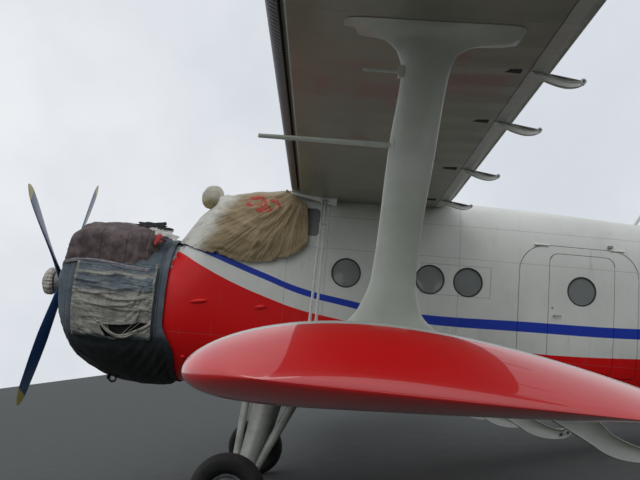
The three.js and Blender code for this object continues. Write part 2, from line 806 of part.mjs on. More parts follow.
function buildWires(lower, centre, fuselage) {
  const { top, bottom, spacing, width, thickness } = WIRE;
  const start = new THREE.Vector3(-top[0], top[1], top[2]);
  const finish = new THREE.Vector3(-bottom[0], bottom[1], bottom[2]);
  const along = finish.clone().sub(start);
  const lean = new THREE.Quaternion().setFromUnitVectors(
    new THREE.Vector3(0, 1, 0),
    along.clone().normalize(),
  );
  const piece = (length, wide, thick, offset, share) => {
    const box = new THREE.BoxGeometry(wide, length, thick);
    box.translate(offset, 0, 0);
    box.applyQuaternion(lean);
    return solid(box.translate(...start.clone().addScaledVector(along, share).toArray()));
  };
  const tapes = [-spacing, spacing].map((offset) =>
    piece(along.length() + 200, width, thickness, offset, 0.5),
  );
  const spacers = WIRE_SPACERS.map((share) => piece(16, 2 * spacing + 40, 16, 0, share));
  const lugs = [0.012, 0.985].map((share) => piece(90, 2 * spacing + 30, 22, 0, share));
  const seat = solid(geometryOf(lower).translate(0, 0, FIT_GAP));
  const roof = solid(geometryOf(centre).translate(0, 0, -FIT_GAP));
  const made = cut(join(...tapes, ...spacers, ...lugs), fuselage, seat, roof);
  const main = largest(made);
  bothSides("landing_wires", geometryOf(main), "white");
}

// A piece turned about the y axis: its profile is a list of radius and distance along y.
function turned(profile, segments) {
  const lathe = new THREE.LatheGeometry(
    profile.map(([radius, y]) => new THREE.Vector2(radius, y)),
    segments,
  );
  lathe.deleteAttribute("normal");
  lathe.deleteAttribute("uv");
  const merged = mergeVertices(lathe, 1e-3);
  const points = merged.attributes.position;
  const point = (i) => [points.getX(i), points.getY(i), points.getZ(i)];
  const positions = Array.from({ length: points.count }, (_, i) => point(i));
  const index = [...merged.index.array];
  if (volumeOf(positions, index) < 0) merged.setIndex(index.reverse());
  return merged;
}

function tyreProfile({ radius, width, rim }) {
  const half = width / 2;
  const side = (radius - rim) / 2;
  const reach = Math.cos(Math.PI / TYRE_SIDES) ** 0.8;
  const profile = [];
  for (let i = 0; i < TYRE_SIDES; i++) {
    const angle = ((i + 0.5) / TYRE_SIDES) * 2 * Math.PI;
    const [c, s] = [Math.cos(angle), Math.sin(angle)];
    profile.push([
      radius - side + (Math.sign(c) * side * Math.abs(c) ** 0.8) / reach,
      Math.sign(s) * half * Math.abs(s) ** 0.8,
    ]);
  }
  profile.push(profile[0]);
  return profile;
}

function buildWheel(name, wheel, y, bore, parent, stationAndZ) {
  const [station, z] = stationAndZ;
  const place = moveTo(-station, y, z);
  const tyre = placed(turned(tyreProfile(wheel), WHEEL_SIDES), place);
  node(name.tyre, tyre, "tyre", parent);
  const { rim, width } = wheel;
  const half = width / 2;
  const hub = rim - FIT_GAP;
  const profile = [
    [bore, -half * 0.6],
    [hub, -half * 0.4],
    [hub, half * 0.4],
    [hub * 0.6, half * 0.3],
    [bore, half * 0.6],
    [bore, -half * 0.6],
  ];
  node(name.hub, placed(turned(profile, WHEEL_SIDES), place), "steel", parent);
}

function buildMainGear(fuselage, lower) {
  const { station, z, y, width } = MAIN_WHEEL;
  const legs = GEAR_LEGS.map(({ from, to, radii }) => bar(from, to, ...radii));
  const { front, rear, low, high, inner, outer } = GEAR_KNUCKLE;
  const knuckle = block(front, rear, inner, outer, low, high);
  const axle = bar([station, inner + 20, z], [station, y + width * 0.36, z], AXLE_RADIUS);
  const seats = [
    [0, 0, 0],
    [0, 0, -FIT_GAP],
    [0, 0, FIT_GAP],
    [FIT_GAP, 0, 0],
  ].map((shift) => solid(geometryOf(lower).translate(...shift)));
  const made = cut(join(...legs, knuckle, axle), fuselage, ...seats);
  const main = largest(made);
  bothSides("main_gear_leg", geometryOf(main), "white");
  for (const [side, parent] of [
    ["left", port],
    ["right", starboard],
  ])
    buildWheel(
      { tyre: "main_tyre_" + side, hub: "main_hub_" + side },
      MAIN_WHEEL,
      y,
      AXLE_RADIUS + FIT_GAP,
      parent,
      [station, z],
    );
}

function buildTailGear(fuselage) {
  const { station, z, width, radius, rim } = TAIL_WHEEL;
  const upright = new THREE.Group();
  upright.position.set(-station, 0, z);
  upright.rotation.y = GROUND_ANGLE;
  airframe.add(upright);
  const crown = radius + 42;
  const trail = 150;
  const half = width / 2 + 14;
  const armThick = 16;
  const axle = bar([0, -half - armThick + 2, 0], [0, half + armThick - 2, 0], 15);
  const arm = (side) => {
    const outline = new THREE.Shape();
    outline.moveTo(-28, -26);
    outline.lineTo(26, -26);
    outline.lineTo(40, 120);
    outline.lineTo(trail + 50, crown);
    outline.lineTo(trail + 50, crown + 30);
    outline.lineTo(-10, crown + 30);
    outline.lineTo(-34, crown - 60);
    outline.closePath();
    const inner = side > 0 ? half : -half - armThick;
    return sideSlab(outline, inner, inner + armThick);
  };
  const crownPlate = block(-trail - 50, 10, -half - armThick, half + armThick, crown, crown + 30);
  const swivelRadius = 36;
  const swivel = bar([-trail, 0, crown + 10], [-trail, 0, crown + 66], swivelRadius);
  node("tail_fork", geometryOf(join(axle, arm(1), arm(-1), crownPlate, swivel)), "steel", upright);
  buildWheel(
    { tyre: "tail_tyre", hub: "tail_hub" },
    { ...TAIL_WHEEL, rim },
    0,
    15 + FIT_GAP,
    upright,
    [0, 0],
  );
  const stand = new THREE.Matrix4().makeRotationY(GROUND_ANGLE).setPosition(-station, 0, z);
  const post = bar([-trail, 0, crown + 36], [-trail, 0, crown + 420], 62, 90);
  const socketTop = crown + 66 + FIT_GAP;
  const socket = bar([-trail, 0, crown], [-trail, 0, socketTop], boreFor(swivelRadius));
  const leg = cut(solid(placed(geometryOf(cut(post, socket)), stand)), fuselage);
  const main = largest(leg);
  node("tail_leg", geometryOf(main), "white");
}

function bladeGeometry() {
  const outline = [0, 1, 2, 3, 4, 5, 6, 7, 8, 9].map((i) => {
    const angle = (i / 10) * 2 * Math.PI;
    return [Math.cos(angle), Math.sin(angle)];
  });
  const rings = BLADE_SECTIONS.map(([radius, chord, thickness, pitch]) => {
    const angle = THREE.MathUtils.degToRad(pitch);
    return outline.map(([along, across]) => {
      const [a, b] = [(along * chord) / 2, (across * thickness) / 2];
      const [c, s] = [Math.cos(angle), Math.sin(angle)];
      return [a * s + b * c, b * s - a * c, radius];
    });
  });
  return loft(rings, 2);
}

// The propeller hub turned about its axis, or with grow the room that the blades leave it.
function hubShape(grow) {
  const { hubRadius } = PROPELLER;
  const hub = turned(
    [
      [0, -110 - grow],
      [120 + grow, -110 - grow],
      [hubRadius + grow, -80],
      [hubRadius + grow, 66],
      [98 + grow, 92 + grow],
      [92 + grow, 190],
      [60, 214 + grow],
      [0, 218 + grow],
    ],
    28,
  );
  return placed(hub, turnZ(-Math.PI / 2));
}

function buildPropeller() {
  const { blades, firstAngle } = PROPELLER;
  node("propeller_hub", hubShape(0), "steel");
  const room = solid(hubShape(FIT_GAP));
  for (let i = 0; i < blades; i++) {
    const fromUp = THREE.MathUtils.degToRad(firstAngle + (i * 360) / blades - 90);
    const blade = cut(solid(placed(bladeGeometry(), turnX(fromUp))), room);
    node("propeller_blade_" + (i + 1), geometryOf(largest(blade)), "propeller");
  }
  const bag = turned(
    [
      [0, 219],
      [62, 215],
      [94, 190],
      [100, 96],
      [122, 96],
      [165, 110],
      [178, 160],
      [150, 214],
      [90, 238],
      [0, 244],
    ],
    24,
  );
  node("hub_bag", placed(bag, turnZ(-Math.PI / 2)), "beige");
}

function buildEngine() {
  const outer = body(COWL_SECTIONS, 230, COVER_END);
  const inner = body(COWL_SECTIONS, 220, COVER_END + 10, -26);
  node("engine_cowling", geometryOf(cut(outer, inner)), "steel");

  const block = turned(
    [
      [0, -COVER_END],
      [420, -COVER_END],
      [420, -1150],
      [560, -1100],
      [560, -620],
      [300, -520],
      [180, -320],
      [118, -200],
      [118, -111],
      [0, -111],
    ],
    32,
  );
  node("engine_block", placed(block, turnZ(-Math.PI / 2)), "dark");
}

function buildCovers(fuselage) {
  const cloth = body(ENGINE_COVER_SECTIONS, 120, COVER_END);
  const cowlRoom = body(COWL_SECTIONS, 228, COVER_END + 10, FIT_GAP);
  const engineRoom = bar([100, 0, -20], [700, 0, -20], 330);
  const lumpRoom = body(COVER_LUMP_SECTIONS, 140 - FIT_GAP, 1390 + FIT_GAP, FIT_GAP);
  const quilt = cut(cloth, cowlRoom, engineRoom, lumpRoom);
  const main = largest(quilt);
  node("engine_cover", geometryOf(main), "quilt");

  const lump = cut(body(COVER_LUMP_SECTIONS, 140, 1390), cowlRoom, engineRoom);
  const top = largest(lump);
  node("cover_lump", geometryOf(top), "brown");

  // The canvas hangs over the cockpit roof down to a slanted hem, in station and height.
  const hem = [
    [1640, 590],
    [2110, 440],
    [2870, 430],
    [3180, 620],
    [3150, 1115],
    [2920, 1330],
    [2890, 1500],
    [1640, 1500],
  ];
  const outline = new THREE.Shape(hem.map(([station, z]) => new THREE.Vector2(-station, z)));
  const drape = body(FUSELAGE_SECTIONS, 1630, 3200, COVER_CLOTH).intersect(
    sideSlab(outline, -1200, 1200),
  );
  const knot = new THREE.SphereGeometry(150, 12, 8);
  knot.translate(-1900, 300, 1215);
  const made = cut(join(drape, solid(knot)), fuselage);
  const tarp = largest(made);
  node("cockpit_cover", geometryOf(tarp), "canvas");
}

// The fixed surface ahead of a hinge: a rounded nose and a flat back of half thickness.
function fixedRing(front, rear, half, place) {
  const shares = [0, 0.03, 0.14, 0.4, 0.7, 1];
  const thick = [0, 0.5, 0.85, 1, 1, 0.94];
  const upper = shares.map((share, i) => [front + share * (rear - front), half * thick[i]]);
  const lower = upper
    .slice(1)
    .reverse()
    .map(([aft, up]) => [aft, -up]);
  return [...upper, ...lower].map(([aft, up]) => place(aft, up));
}

// The moving surface behind a hinge: half a round nose about the hinge, tapering to a thin tail.
function movingRing(hinge, rear, nose, place) {
  const round = [-90, -60, -30, 0, 30, 60, 90].map((degrees) => {
    const angle = THREE.MathUtils.degToRad(degrees);
    return [hinge - nose * Math.cos(angle), nose * Math.sin(angle)];
  });
  return [...round, [rear, 4], [rear, -4]].map(([aft, up]) => place(aft, up));
}

const tipOf = (table, i) => i === table.length - 1;

function buildFin(fuselage) {
  const back = FIN_HINGE - RUDDER_NOSE - MOVE_GAP;
  const fin = solid(
    loft(
      FIN_SECTIONS.map(([z, lead], i) =>
        fixedRing(lead, back, tipOf(FIN_SECTIONS, i) ? 24 : RUDDER_NOSE, (aft, up) => [-aft, up, z]),
      ),
      2,
    ),
  );
  const lugs = RUDDER_LUG_HEIGHTS.map((z) =>
    block(back - 60, back + MOVE_GAP - FIT_GAP, -16, 16, z - 20, z + 20),
  );
  const made = cut(join(fin, ...lugs), fuselage);
  const main = largest(made);
  node("fin", geometryOf(main), "white");

  const rudder = loft(
    RUDDER_SECTIONS.map(([z, rear]) =>
      movingRing(FIN_HINGE, rear, RUDDER_NOSE, (aft, up) => [-aft, up, z]),
    ),
    2,
  );
  node("rudder", rudder, "white");
}

function buildTailplane(fuselage) {
  const { z, hinge, thickness, tipThickness } = TAILPLANE;
  const back = hinge - ELEVATOR_NOSE - MOVE_GAP;
  const plane = solid(
    loft(
      TAILPLANE_SECTIONS.map(([y, lead], i) =>
        fixedRing(lead, back, tipOf(TAILPLANE_SECTIONS, i) ? tipThickness / 2 : thickness / 2, (aft, up) => [
          -aft,
          y,
          z + up,
        ]),
      ),
      1,
    ),
  );
  const lugs = ELEVATOR_LUG_Y.map((y) =>
    block(back - 60, back + MOVE_GAP - FIT_GAP, y - 20, y + 20, z - 14, z + 14),
  );
  bothSides("tailplane", geometryOf(cut(join(plane, ...lugs), fuselage)), "white");

  const elevator = loft(
    ELEVATOR_SECTIONS.map(([y, rear]) =>
      movingRing(hinge, rear, ELEVATOR_NOSE, (aft, up) => [-aft, y, z + up]),
    ),
    1,
  );
  bothSides("elevator", elevator, "white");
  const end = ELEVATOR_SECTIONS[0][0] - FIT_GAP;
  node("elevator_tube", geometryOf(bar([hinge, -end, z], [hinge, end, z], TORQUE_TUBE)), "steel");

  const { from, to, radius } = TAIL_STRUT;
  const seat = solid(geometryOf(plane).translate(0, 0, -FIT_GAP));
  const strut = cut(bar(from, to, radius, radius, 12), fuselage, seat);
  const main = largest(strut);
  bothSides("tail_strut", geometryOf(main), "white");
}

function buildMast(fuselage) {
  const { foot, head, width, thickness } = MAST;
  const ring = ([station, y, z], scale) =>
    [0, 1, 2, 3, 4, 5, 6, 7].map((i) => {
      const angle = (i / 8) * 2 * Math.PI;
      return [
        -station + (scale * width * Math.cos(angle)) / 2,
        y + (scale * thickness * Math.sin(angle)) / 2,
        z,
      ];
    });
  const mast = solid(loft([ring([7360, 0, 1230], 1.1), ring(foot, 1.05), ring(head, 0.7)], 2));
  node("aerial_mast", geometryOf(cut(mast, fuselage)), "white");
}

const fuselageSeat = wholeFuselage(2 * FIT_GAP);
buildNose();
buildCabin();
buildDoors();
buildRearFuselage();
const upperWing = buildWing("upper_wing", UPPER_WING, UPPER_ARM_Y, fuselageSeat, "white");
const lowerWing = buildWing("lower_wing", LOWER_WING, LOWER_ARM_Y, fuselageSeat, "red");
const centreSection = buildCentreSection(fuselageSeat);
buildStrut(upperWing, lowerWing);
buildWires(lowerWing, centreSection, fuselageSeat);
buildMainGear(fuselageSeat, lowerWing);
buildTailGear(fuselageSeat);
buildEngine();
buildPropeller();
buildCovers(fuselageSeat);
buildFin(fuselageSeat);
buildTailplane(fuselageSeat);
buildMast(fuselageSeat);

// The parked airframe, shifted so that the middle of its box's lowest face is the origin.
const parked = new THREE.Group();
const tipped = new THREE.Group();
tipped.rotation.y = -GROUND_ANGLE;
tipped.add(airframe);
parked.add(tipped);
parked.updateMatrixWorld(true);
const box = new THREE.Box3().setFromObject(parked, true);
tipped.position.set(-(box.min.x + box.max.x) / 2, -(box.min.y + box.max.y) / 2, -box.min.z);

export default parked;
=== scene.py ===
# %% [markdown]
# # A parked utility biplane
#
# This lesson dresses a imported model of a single-engined biplane that stands on its tail wheel with
# covers on its engine, hub and cockpit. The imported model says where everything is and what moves.
# Blender makes each surface as fine as the real one and gives it its finish.

# %% Load the frame
import json
from math import atan2, ceil, copysign, cos, degrees, exp, hypot, pi, radians, sin

import bmesh
import bpy
import numpy as np
from mathutils import Matrix, Vector, noise

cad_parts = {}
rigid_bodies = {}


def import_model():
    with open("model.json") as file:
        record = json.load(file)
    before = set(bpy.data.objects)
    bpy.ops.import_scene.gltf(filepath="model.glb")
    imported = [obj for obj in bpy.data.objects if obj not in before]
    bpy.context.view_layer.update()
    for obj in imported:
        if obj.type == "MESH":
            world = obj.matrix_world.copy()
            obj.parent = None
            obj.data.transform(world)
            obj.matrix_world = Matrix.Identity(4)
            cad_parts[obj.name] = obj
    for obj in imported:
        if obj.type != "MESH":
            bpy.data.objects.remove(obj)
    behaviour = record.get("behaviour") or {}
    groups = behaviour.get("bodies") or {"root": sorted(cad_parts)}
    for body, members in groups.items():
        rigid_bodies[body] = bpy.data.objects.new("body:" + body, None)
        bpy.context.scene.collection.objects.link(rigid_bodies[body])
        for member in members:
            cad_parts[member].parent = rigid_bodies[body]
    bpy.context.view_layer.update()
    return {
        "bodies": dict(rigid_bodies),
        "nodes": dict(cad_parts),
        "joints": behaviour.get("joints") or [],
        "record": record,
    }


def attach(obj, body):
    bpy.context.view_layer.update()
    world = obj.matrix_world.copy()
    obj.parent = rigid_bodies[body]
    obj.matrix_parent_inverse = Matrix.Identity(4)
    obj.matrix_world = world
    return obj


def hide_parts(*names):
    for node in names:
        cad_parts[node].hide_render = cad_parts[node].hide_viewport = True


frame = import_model()
print("nodes in the frame:", len(frame["nodes"]))

# %% [markdown]
# The aeroplane stands nose up, so its own axes lean. The propeller's joint gives two of them: its
# place is the nose and its axis points forward. Every table below is in these body axes, as a
# station aft of the propeller disc, a distance to port and a height over the thrust line.

# %% Body axes
spin = next(joint for joint in frame["joints"] if joint["name"] == "propeller_spin")
NOSE = Vector(spin["pos_m"])
FORWARD = Vector(spin["axis"]).normalized()
PORT = Vector((0, 1, 0))
UP = FORWARD.cross(PORT)
TO_ROW = Matrix.Translation(NOSE) @ Matrix((FORWARD, PORT, UP)).transposed().to_4x4()
PARKED_ANGLE = atan2(FORWARD.z, FORWARD.x)
print("parked nose up by degrees:", round(degrees(PARKED_ANGLE), 2))

# %% [markdown]
# The camera comes first. Its place and turn were solved from the aeroplane's own measures in the
# photograph: the windows' spacing, the propeller's circle and the strut. It stands by the port
# lower wing tip, a little above that wing, and looks straight at the fuselage.

# %% Camera
def placed(name, data):
    """A new object in the scene."""
    thing = bpy.data.objects.new(name, data)
    bpy.context.scene.collection.objects.link(thing)
    return thing


CAMERA_PLACE = (3.4343, 9.8134, -0.504)
CAMERA_YAW, CAMERA_PITCH, CAMERA_ROLL = 0.0118027, 0.1347133, 0.0800435
FOCAL_PIXELS = 749.95
IMAGE_WIDTH = 640
SENSOR_WIDTH = 36.0

camera_data = bpy.data.cameras.new("camera")
camera_data.sensor_width = SENSOR_WIDTH
camera_data.lens = FOCAL_PIXELS * SENSOR_WIDTH / IMAGE_WIDTH
camera = placed("camera", camera_data)
bpy.context.scene.camera = camera

look = Vector(
    (sin(CAMERA_YAW) * cos(CAMERA_PITCH), -cos(CAMERA_YAW) * cos(CAMERA_PITCH), sin(CAMERA_PITCH))
)
right = look.cross(Vector((0, 0, 1))).normalized()
above = right.cross(look)
tilt = Matrix.Rotation(-CAMERA_ROLL, 3, look)
axes = Matrix((tilt @ right, tilt @ above, -look)).transposed().to_4x4()
camera.matrix_world = (
    TO_ROW @ Matrix.Translation((-CAMERA_PLACE[0], CAMERA_PLACE[1], CAMERA_PLACE[2])) @ axes
)
print("lens in millimetres:", round(camera_data.lens, 2))

# %% [markdown]
# A plain grey floor and a soft overcast sky stand in for the airfield. The sky is dark low down
# behind the camera, where trees would stand, because the glossy red tips mirror it. One wide weak
# sun from the camera's side rounds the shapes.

# %% Floor and light
FLOOR_HALF = 300.0


class Value:
    """What a material works out for each point. Sums with it become Math nodes."""

    def __init__(self, material, socket):
        self.material, self.socket = material, socket

    def __add__(self, other):
        return maths("ADD", self, other)

    def __sub__(self, other):
        return maths("SUBTRACT", self, other)

    def __rsub__(self, other):
        return maths("SUBTRACT", other, self)

    def __mul__(self, other):
        return maths("MULTIPLY", self, other)

    def __truediv__(self, other):
        return maths("DIVIDE", self, other)

    def __pow__(self, other):
        return maths("POWER", self, other)

    def __abs__(self):
        return maths("ABSOLUTE", self)


def new_node(material, kind, inputs, **settings):
    """Adds a node, sets its properties, and gives each input a value or a link."""
    made = material.node_tree.nodes.new(kind)
    for key, value in settings.items():
        setattr(made, key, value)
    for key, value in inputs.items():
        if isinstance(value, Value):
            material.node_tree.links.new(value.socket, made.inputs[key])
        else:
            made.inputs[key].default_value = value
    return made


def read(material, kind, output, inputs=None, **settings):
    """What one output of a new node says."""
    made = new_node(material, kind, inputs or {}, **settings)
    return Value(material, made.outputs[output])


def new_finish(name, slot, **sockets):
    """A material on the Principled shader, with the slot that its pieces belong to."""
    material = bpy.data.materials.new(name)
    material.use_nodes = True
    material["slot"] = slot
    shader = material.node_tree.nodes["Principled BSDF"]
    for key, value in sockets.items():
        shader.inputs[key.replace("_", " ")].default_value = value
    return material, shader


def maths(operation, *values):
    material = next(value.material for value in values if isinstance(value, Value))
    inputs = dict(enumerate(values))
    return read(material, "ShaderNodeMath", 0, inputs, operation=operation)


def blend(share, first, second):
    """Two colours mixed by a share of the second."""
    inputs = {0: share, 6: first, 7: second}
    return read(share.material, "ShaderNodeMix", 2, inputs, data_type="RGBA")


def object_place(material):
    return read(material, "ShaderNodeTexCoord", "Object")


def parts_of(vector):
    """A vector's three parts."""
    node = new_node(vector.material, "ShaderNodeSeparateXYZ", {"Vector": vector})
    return [Value(vector.material, output) for output in node.outputs]


def mottle(place, scale, detail=4.0, rough=0.5):
    inputs = {"Vector": place, "Scale": scale, "Detail": detail, "Roughness": rough}
    return read(place.material, "ShaderNodeTexNoise", "Fac", inputs)


def ramp(value, low, high):
    """0 below low, 1 above high, and smooth between them."""
    inputs = {"Value": value, "From Min": low, "From Max": high}
    kind = "ShaderNodeMapRange"
    return read(value.material, kind, "Result", inputs, interpolation_type="SMOOTHSTEP")


def link(value, shader, socket):
    value.material.node_tree.links.new(value.socket, shader.inputs[socket])


def bump(shader, height, strength, distance):
    inputs = {"Height": height, "Strength": strength, "Distance": distance}
    link(read(height.material, "ShaderNodeBump", "Normal", inputs), shader, "Normal")


def painted(shader, colour, *layers):
    """Lays tones over a colour, each by its share, and gives the result to the shader."""
    for share, tone in layers:
        colour = blend(share, colour, tone)
    link(colour, shader, "Base Color")


def two_tones(place, scale, detail, rough, low, high, first, second):
    """A mottle and the colour that it gives, from a first tone to a second."""
    tone = mottle(place, scale, detail, rough)
    return tone, blend(ramp(tone, low, high), first, second)


ground_finish, ground_shader = new_finish("ground", "floor", Roughness=0.95, Specular_IOR_Level=0.1)
ground_place = object_place(ground_finish)
ground_colour = blend(
    mottle(ground_place, 3.0, 6.0), (0.075, 0.08, 0.078, 1), (0.11, 0.115, 0.112, 1)
)
link(ground_colour, ground_shader, "Base Color")

floor_mesh = bmesh.new()
bmesh.ops.create_grid(floor_mesh, x_segments=1, y_segments=1, size=FLOOR_HALF)
floor_data = bpy.data.meshes.new("ground")
floor_mesh.to_mesh(floor_data)
floor_mesh.free()
floor_data.materials.append(ground_finish)
ground = placed("ground", floor_data)

sky = bpy.data.worlds.new("sky")
sky.use_nodes = True
bpy.context.scene.world = sky
way = read(sky, "ShaderNodeTexCoord", "Generated")
_, way_north, way_up = parts_of(way)
cloud = ramp(mottle(way, 2.2, 5.0, 0.55), 0.3, 0.75)
overcast = blend(cloud, (0.66, 0.7, 0.76, 1), (0.86, 0.88, 0.91, 1))
low_down = 1.0 - ramp(way_up, 0.02, 0.3)
behind = ramp(way_north, -0.1, 0.5)
overcast = blend(low_down * behind, overcast, (0.09, 0.1, 0.08, 1))
background = sky.node_tree.nodes["Background"]
link(overcast, background, "Color")
background.inputs["Strength"].default_value = 1.0
bpy.context.scene.view_settings.view_transform = "Standard"

SUN_TURNS = (radians(38), 0, radians(168))
SUN_STRENGTH, SUN_SPREAD = 0.35, radians(28)
sun_data = bpy.data.lights.new("sun", "SUN")
sun_data.energy = SUN_STRENGTH
sun_data.angle = SUN_SPREAD
sun = placed("sun", sun_data)
sun.rotation_euler = SUN_TURNS
print("floor, sky and sun made")

# %% [markdown]
# Most of this aeroplane is skin over ribs and frames, so most pieces are a flat grid bent onto
# rings of points. These helpers bend the grid, read a table between its rows, carve one shape
# with others, and finish a piece: into the row's place, smooth but for its sharp edges, with its
# material, its body and the solids that it stands for.

# %% Helpers for shapes


def between(table, place):
    """The row of a table at a place, on the straight line between its neighbours."""
    columns = np.array(table, float)
    return [float(np.interp(place, columns[:, 0], column)) for column in columns.T]


def rounded(table, place):
    """The row at a place, on a smooth curve that doesn't overshoot the table's rows."""
    rows = np.array(table, float)
    x = rows[:, 0]
    i = int(np.clip(np.searchsorted(x, place) - 1, 0, len(x) - 2))
    gaps = np.diff(x)
    slopes = np.diff(rows, axis=0) / gaps[:, None]

    def tangent(k):
        if k == 0:
            return slopes[0]
        if k == len(x) - 1:
            return slopes[-1]
        before, after = slopes[k - 1], slopes[k]
        steady = before * after > 0
        return np.where(steady, 2 * before * after / np.where(steady, before + after, 1), 0)

    t = float(np.clip((place - x[i]) / gaps[i], 0, 1))
    h = gaps[i]
    made = (
        (2 * t ** 3 - 3 * t ** 2 + 1) * rows[i] + (t ** 3 - 2 * t ** 2 + t) * h * tangent(i)
        + (3 * t ** 2 - 2 * t ** 3) * rows[i + 1] + (t ** 3 - t ** 2) * h * tangent(i + 1)
    )
    return [float(value) for value in made]


def lofted(rings, closed=True):
    """A skin through rings of equally many points: a flat grid bent onto them."""
    count = len(rings[0])
    across = count if closed else count - 1
    made = bmesh.new()
    made.loops.layers.uv.new("UVMap")
    bmesh.ops.create_grid(
        made, x_segments=across, y_segments=len(rings) - 1, size=0.5, calc_uvs=True
    )
    for i, vert in enumerate(made.verts):
        row, column = divmod(i, across + 1)
        vert.co = rings[row][column % count]
    return made


def face_out(made):
    bmesh.ops.recalc_face_normals(made, faces=made.faces)


def welded(made):
    """Merges doubles and turns every face outwards."""
    bmesh.ops.remove_doubles(made, verts=made.verts, dist=1e-5)
    face_out(made)


def moved(made, place):
    bmesh.ops.transform(made, matrix=place, verts=made.verts)


def thicken(made, thickness):
    bmesh.ops.solidify(made, geom=made.faces, thickness=thickness)


def around(count):
    """Angles evenly round a circle."""
    return [2 * pi * k / count for k in range(count)]


def clamped(share):
    return min(1.0, max(0.0, share))


def bell(off, width):
    """1 in the middle, and near 0 from two widths off."""
    return exp(-(off / width) ** 2)


def closed_up(made, merge=1e-5, caps=True):
    """Merges doubles, closes open ends and turns every face outwards."""
    bmesh.ops.remove_doubles(made, verts=made.verts, dist=merge)
    bmesh.ops.dissolve_degenerate(made, dist=1e-6, edges=made.edges)
    if caps:
        open_edges = [edge for edge in made.edges if edge.is_boundary]
        bmesh.ops.holes_fill(made, edges=open_edges, sides=0)
    face_out(made)
    return made


def rod(made, start, end, radius, end_radius=None, sides=24):
    """Adds a round bar between two body points, given as station, port, height."""
    a = Vector((-start[0], start[1], start[2]))
    b = Vector((-end[0], end[1], end[2]))
    turn = (b - a).to_track_quat("Z", "Y").to_matrix().to_4x4()
    bmesh.ops.create_cone(
        made, cap_ends=True, segments=sides, radius1=radius,
        radius2=radius if end_radius is None else end_radius, depth=(b - a).length,
        matrix=Matrix.Translation((a + b) / 2) @ turn
    )


def slab(made, front, rear, inner, outer, low, high, corner=0.0, low_corner=None, steps=10):
    """Adds a box whose four edges that run to port can be rounded."""
    size = Matrix.Diagonal((rear - front, outer - inner, high - low, 1))
    middle = Matrix.Translation((-(front + rear) / 2, (inner + outer) / 2, (low + high) / 2))
    added = bmesh.ops.create_cube(made, size=1.0, matrix=middle @ size)["verts"]
    corners = {False: corner if low_corner is None else low_corner, True: corner}
    for upper, radius in corners.items():
        if not radius:
            continue
        edges = [
            edge for edge in made.edges
            if all(
                v in added and (v.co.z > (low + high) / 2) == upper for v in edge.verts
            ) and abs(edge.verts[0].co.y - edge.verts[1].co.y) > (outer - inner) / 2
        ]
        bmesh.ops.bevel(
            made, geom=edges, offset=radius, segments=steps, profile=0.5, affect="EDGES",
            material=-1
        )
    return made


def scratch(name, made):
    data = bpy.data.meshes.new(name)
    made.to_mesh(data)
    made.free()
    return placed(name, data)


def carved(made, cutter, operation="DIFFERENCE"):
    """The first shape with the second cut out of it, or only what they share."""
    whole, tool = scratch("whole", made), scratch("tool", cutter)
    change = whole.modifiers.new("carve", "BOOLEAN")
    change.object, change.operation, change.solver = tool, operation, "EXACT"
    bpy.context.view_layer.update()
    result = bmesh.new()
    result.from_object(whole, bpy.context.evaluated_depsgraph_get())
    for thing in (whole, tool):
        data = thing.data
        bpy.data.objects.remove(thing)
        bpy.data.meshes.remove(data)
    return result


def finish_piece(name, made, finishes, body="root", replaces=(), sharp=32, mirrored=False):
    """Puts a shape in its place in the row and makes it a piece of the object."""
    place = TO_ROW @ Matrix.Diagonal((1, -1, 1, 1)) if mirrored else TO_ROW
    moved(made, place)
    if mirrored:
        bmesh.ops.reverse_faces(made, faces=made.faces)
    data = bpy.data.meshes.new(name)
    made.to_mesh(data)
    made.free()
    data.shade_smooth()
    data.set_sharp_from_angle(angle=radians(sharp))
    piece = placed(name, data)
    finishes = finishes if isinstance(finishes, (list, tuple)) else [finishes]
    for material in finishes:
        data.materials.append(material)
    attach(piece, body)
    if replaces:
        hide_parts(*replaces)
    print(name, "has", len(data.polygons), "faces")
    return piece


SIDES = (("left", False), ("right", True))


def on_both_sides(name, make, finishes, node, body="root"):
    """Makes a piece to port and its mirror image to starboard."""
    for side, mirrored in SIDES:
        finish_piece(
            f"{name}_{side}", make(), finishes, body=body.format(side=side),
            replaces=[f"{node}_{side}"], mirrored=mirrored
        )


# %% [markdown]
# The paint follows the airframe, not the ground, so its materials turn the Object coordinates back
# into body axes. From there a station picks, along a curve, how high the red ends and where the
# blue line runs.

# %% Paint helpers
BACK_PLACE = Matrix.Rotation(PARKED_ANGLE, 3, "Y") @ NOSE


def body_place(material):
    """Object coordinates turned into body axes, with the station as its negative x."""
    turn = (0, PARKED_ANGLE, 0)
    inputs = {"Vector": object_place(material), "Location": -BACK_PLACE, "Rotation": turn}
    return read(material, "ShaderNodeMapping", "Vector", inputs)


def body_parts(place):
    """Station, distance to port and height."""
    forward, port, height = parts_of(place)
    return forward * -1.0, port, height


CURVE_START, CURVE_END = 1.4, 11.6
CURVE_LOW, CURVE_HIGH = -0.8, 0.8


def along_curve(station, points, low=CURVE_LOW, high=CURVE_HIGH):
    """A height that follows points of station and height."""
    material = station.material
    inputs = {"Value": station, "From Min": CURVE_START, "From Max": CURVE_END}
    share = read(material, "ShaderNodeMapRange", "Result", inputs)
    curve = new_node(material, "ShaderNodeFloatCurve", {"Value": share})
    line = curve.mapping.curves[0]
    length = CURVE_END - CURVE_START
    spots = [((s - CURVE_START) / length, (z - low) / (high - low)) for s, z in points]
    line.points[0].location = spots[0]
    line.points[1].location = spots[-1]
    for spot in spots[1:-1]:
        line.points.new(*spot)
    curve.mapping.update()
    inputs = {"Value": Value(material, curve.outputs[0]), "To Min": low, "To Max": high}
    return read(material, "ShaderNodeMapRange", "Result", inputs)


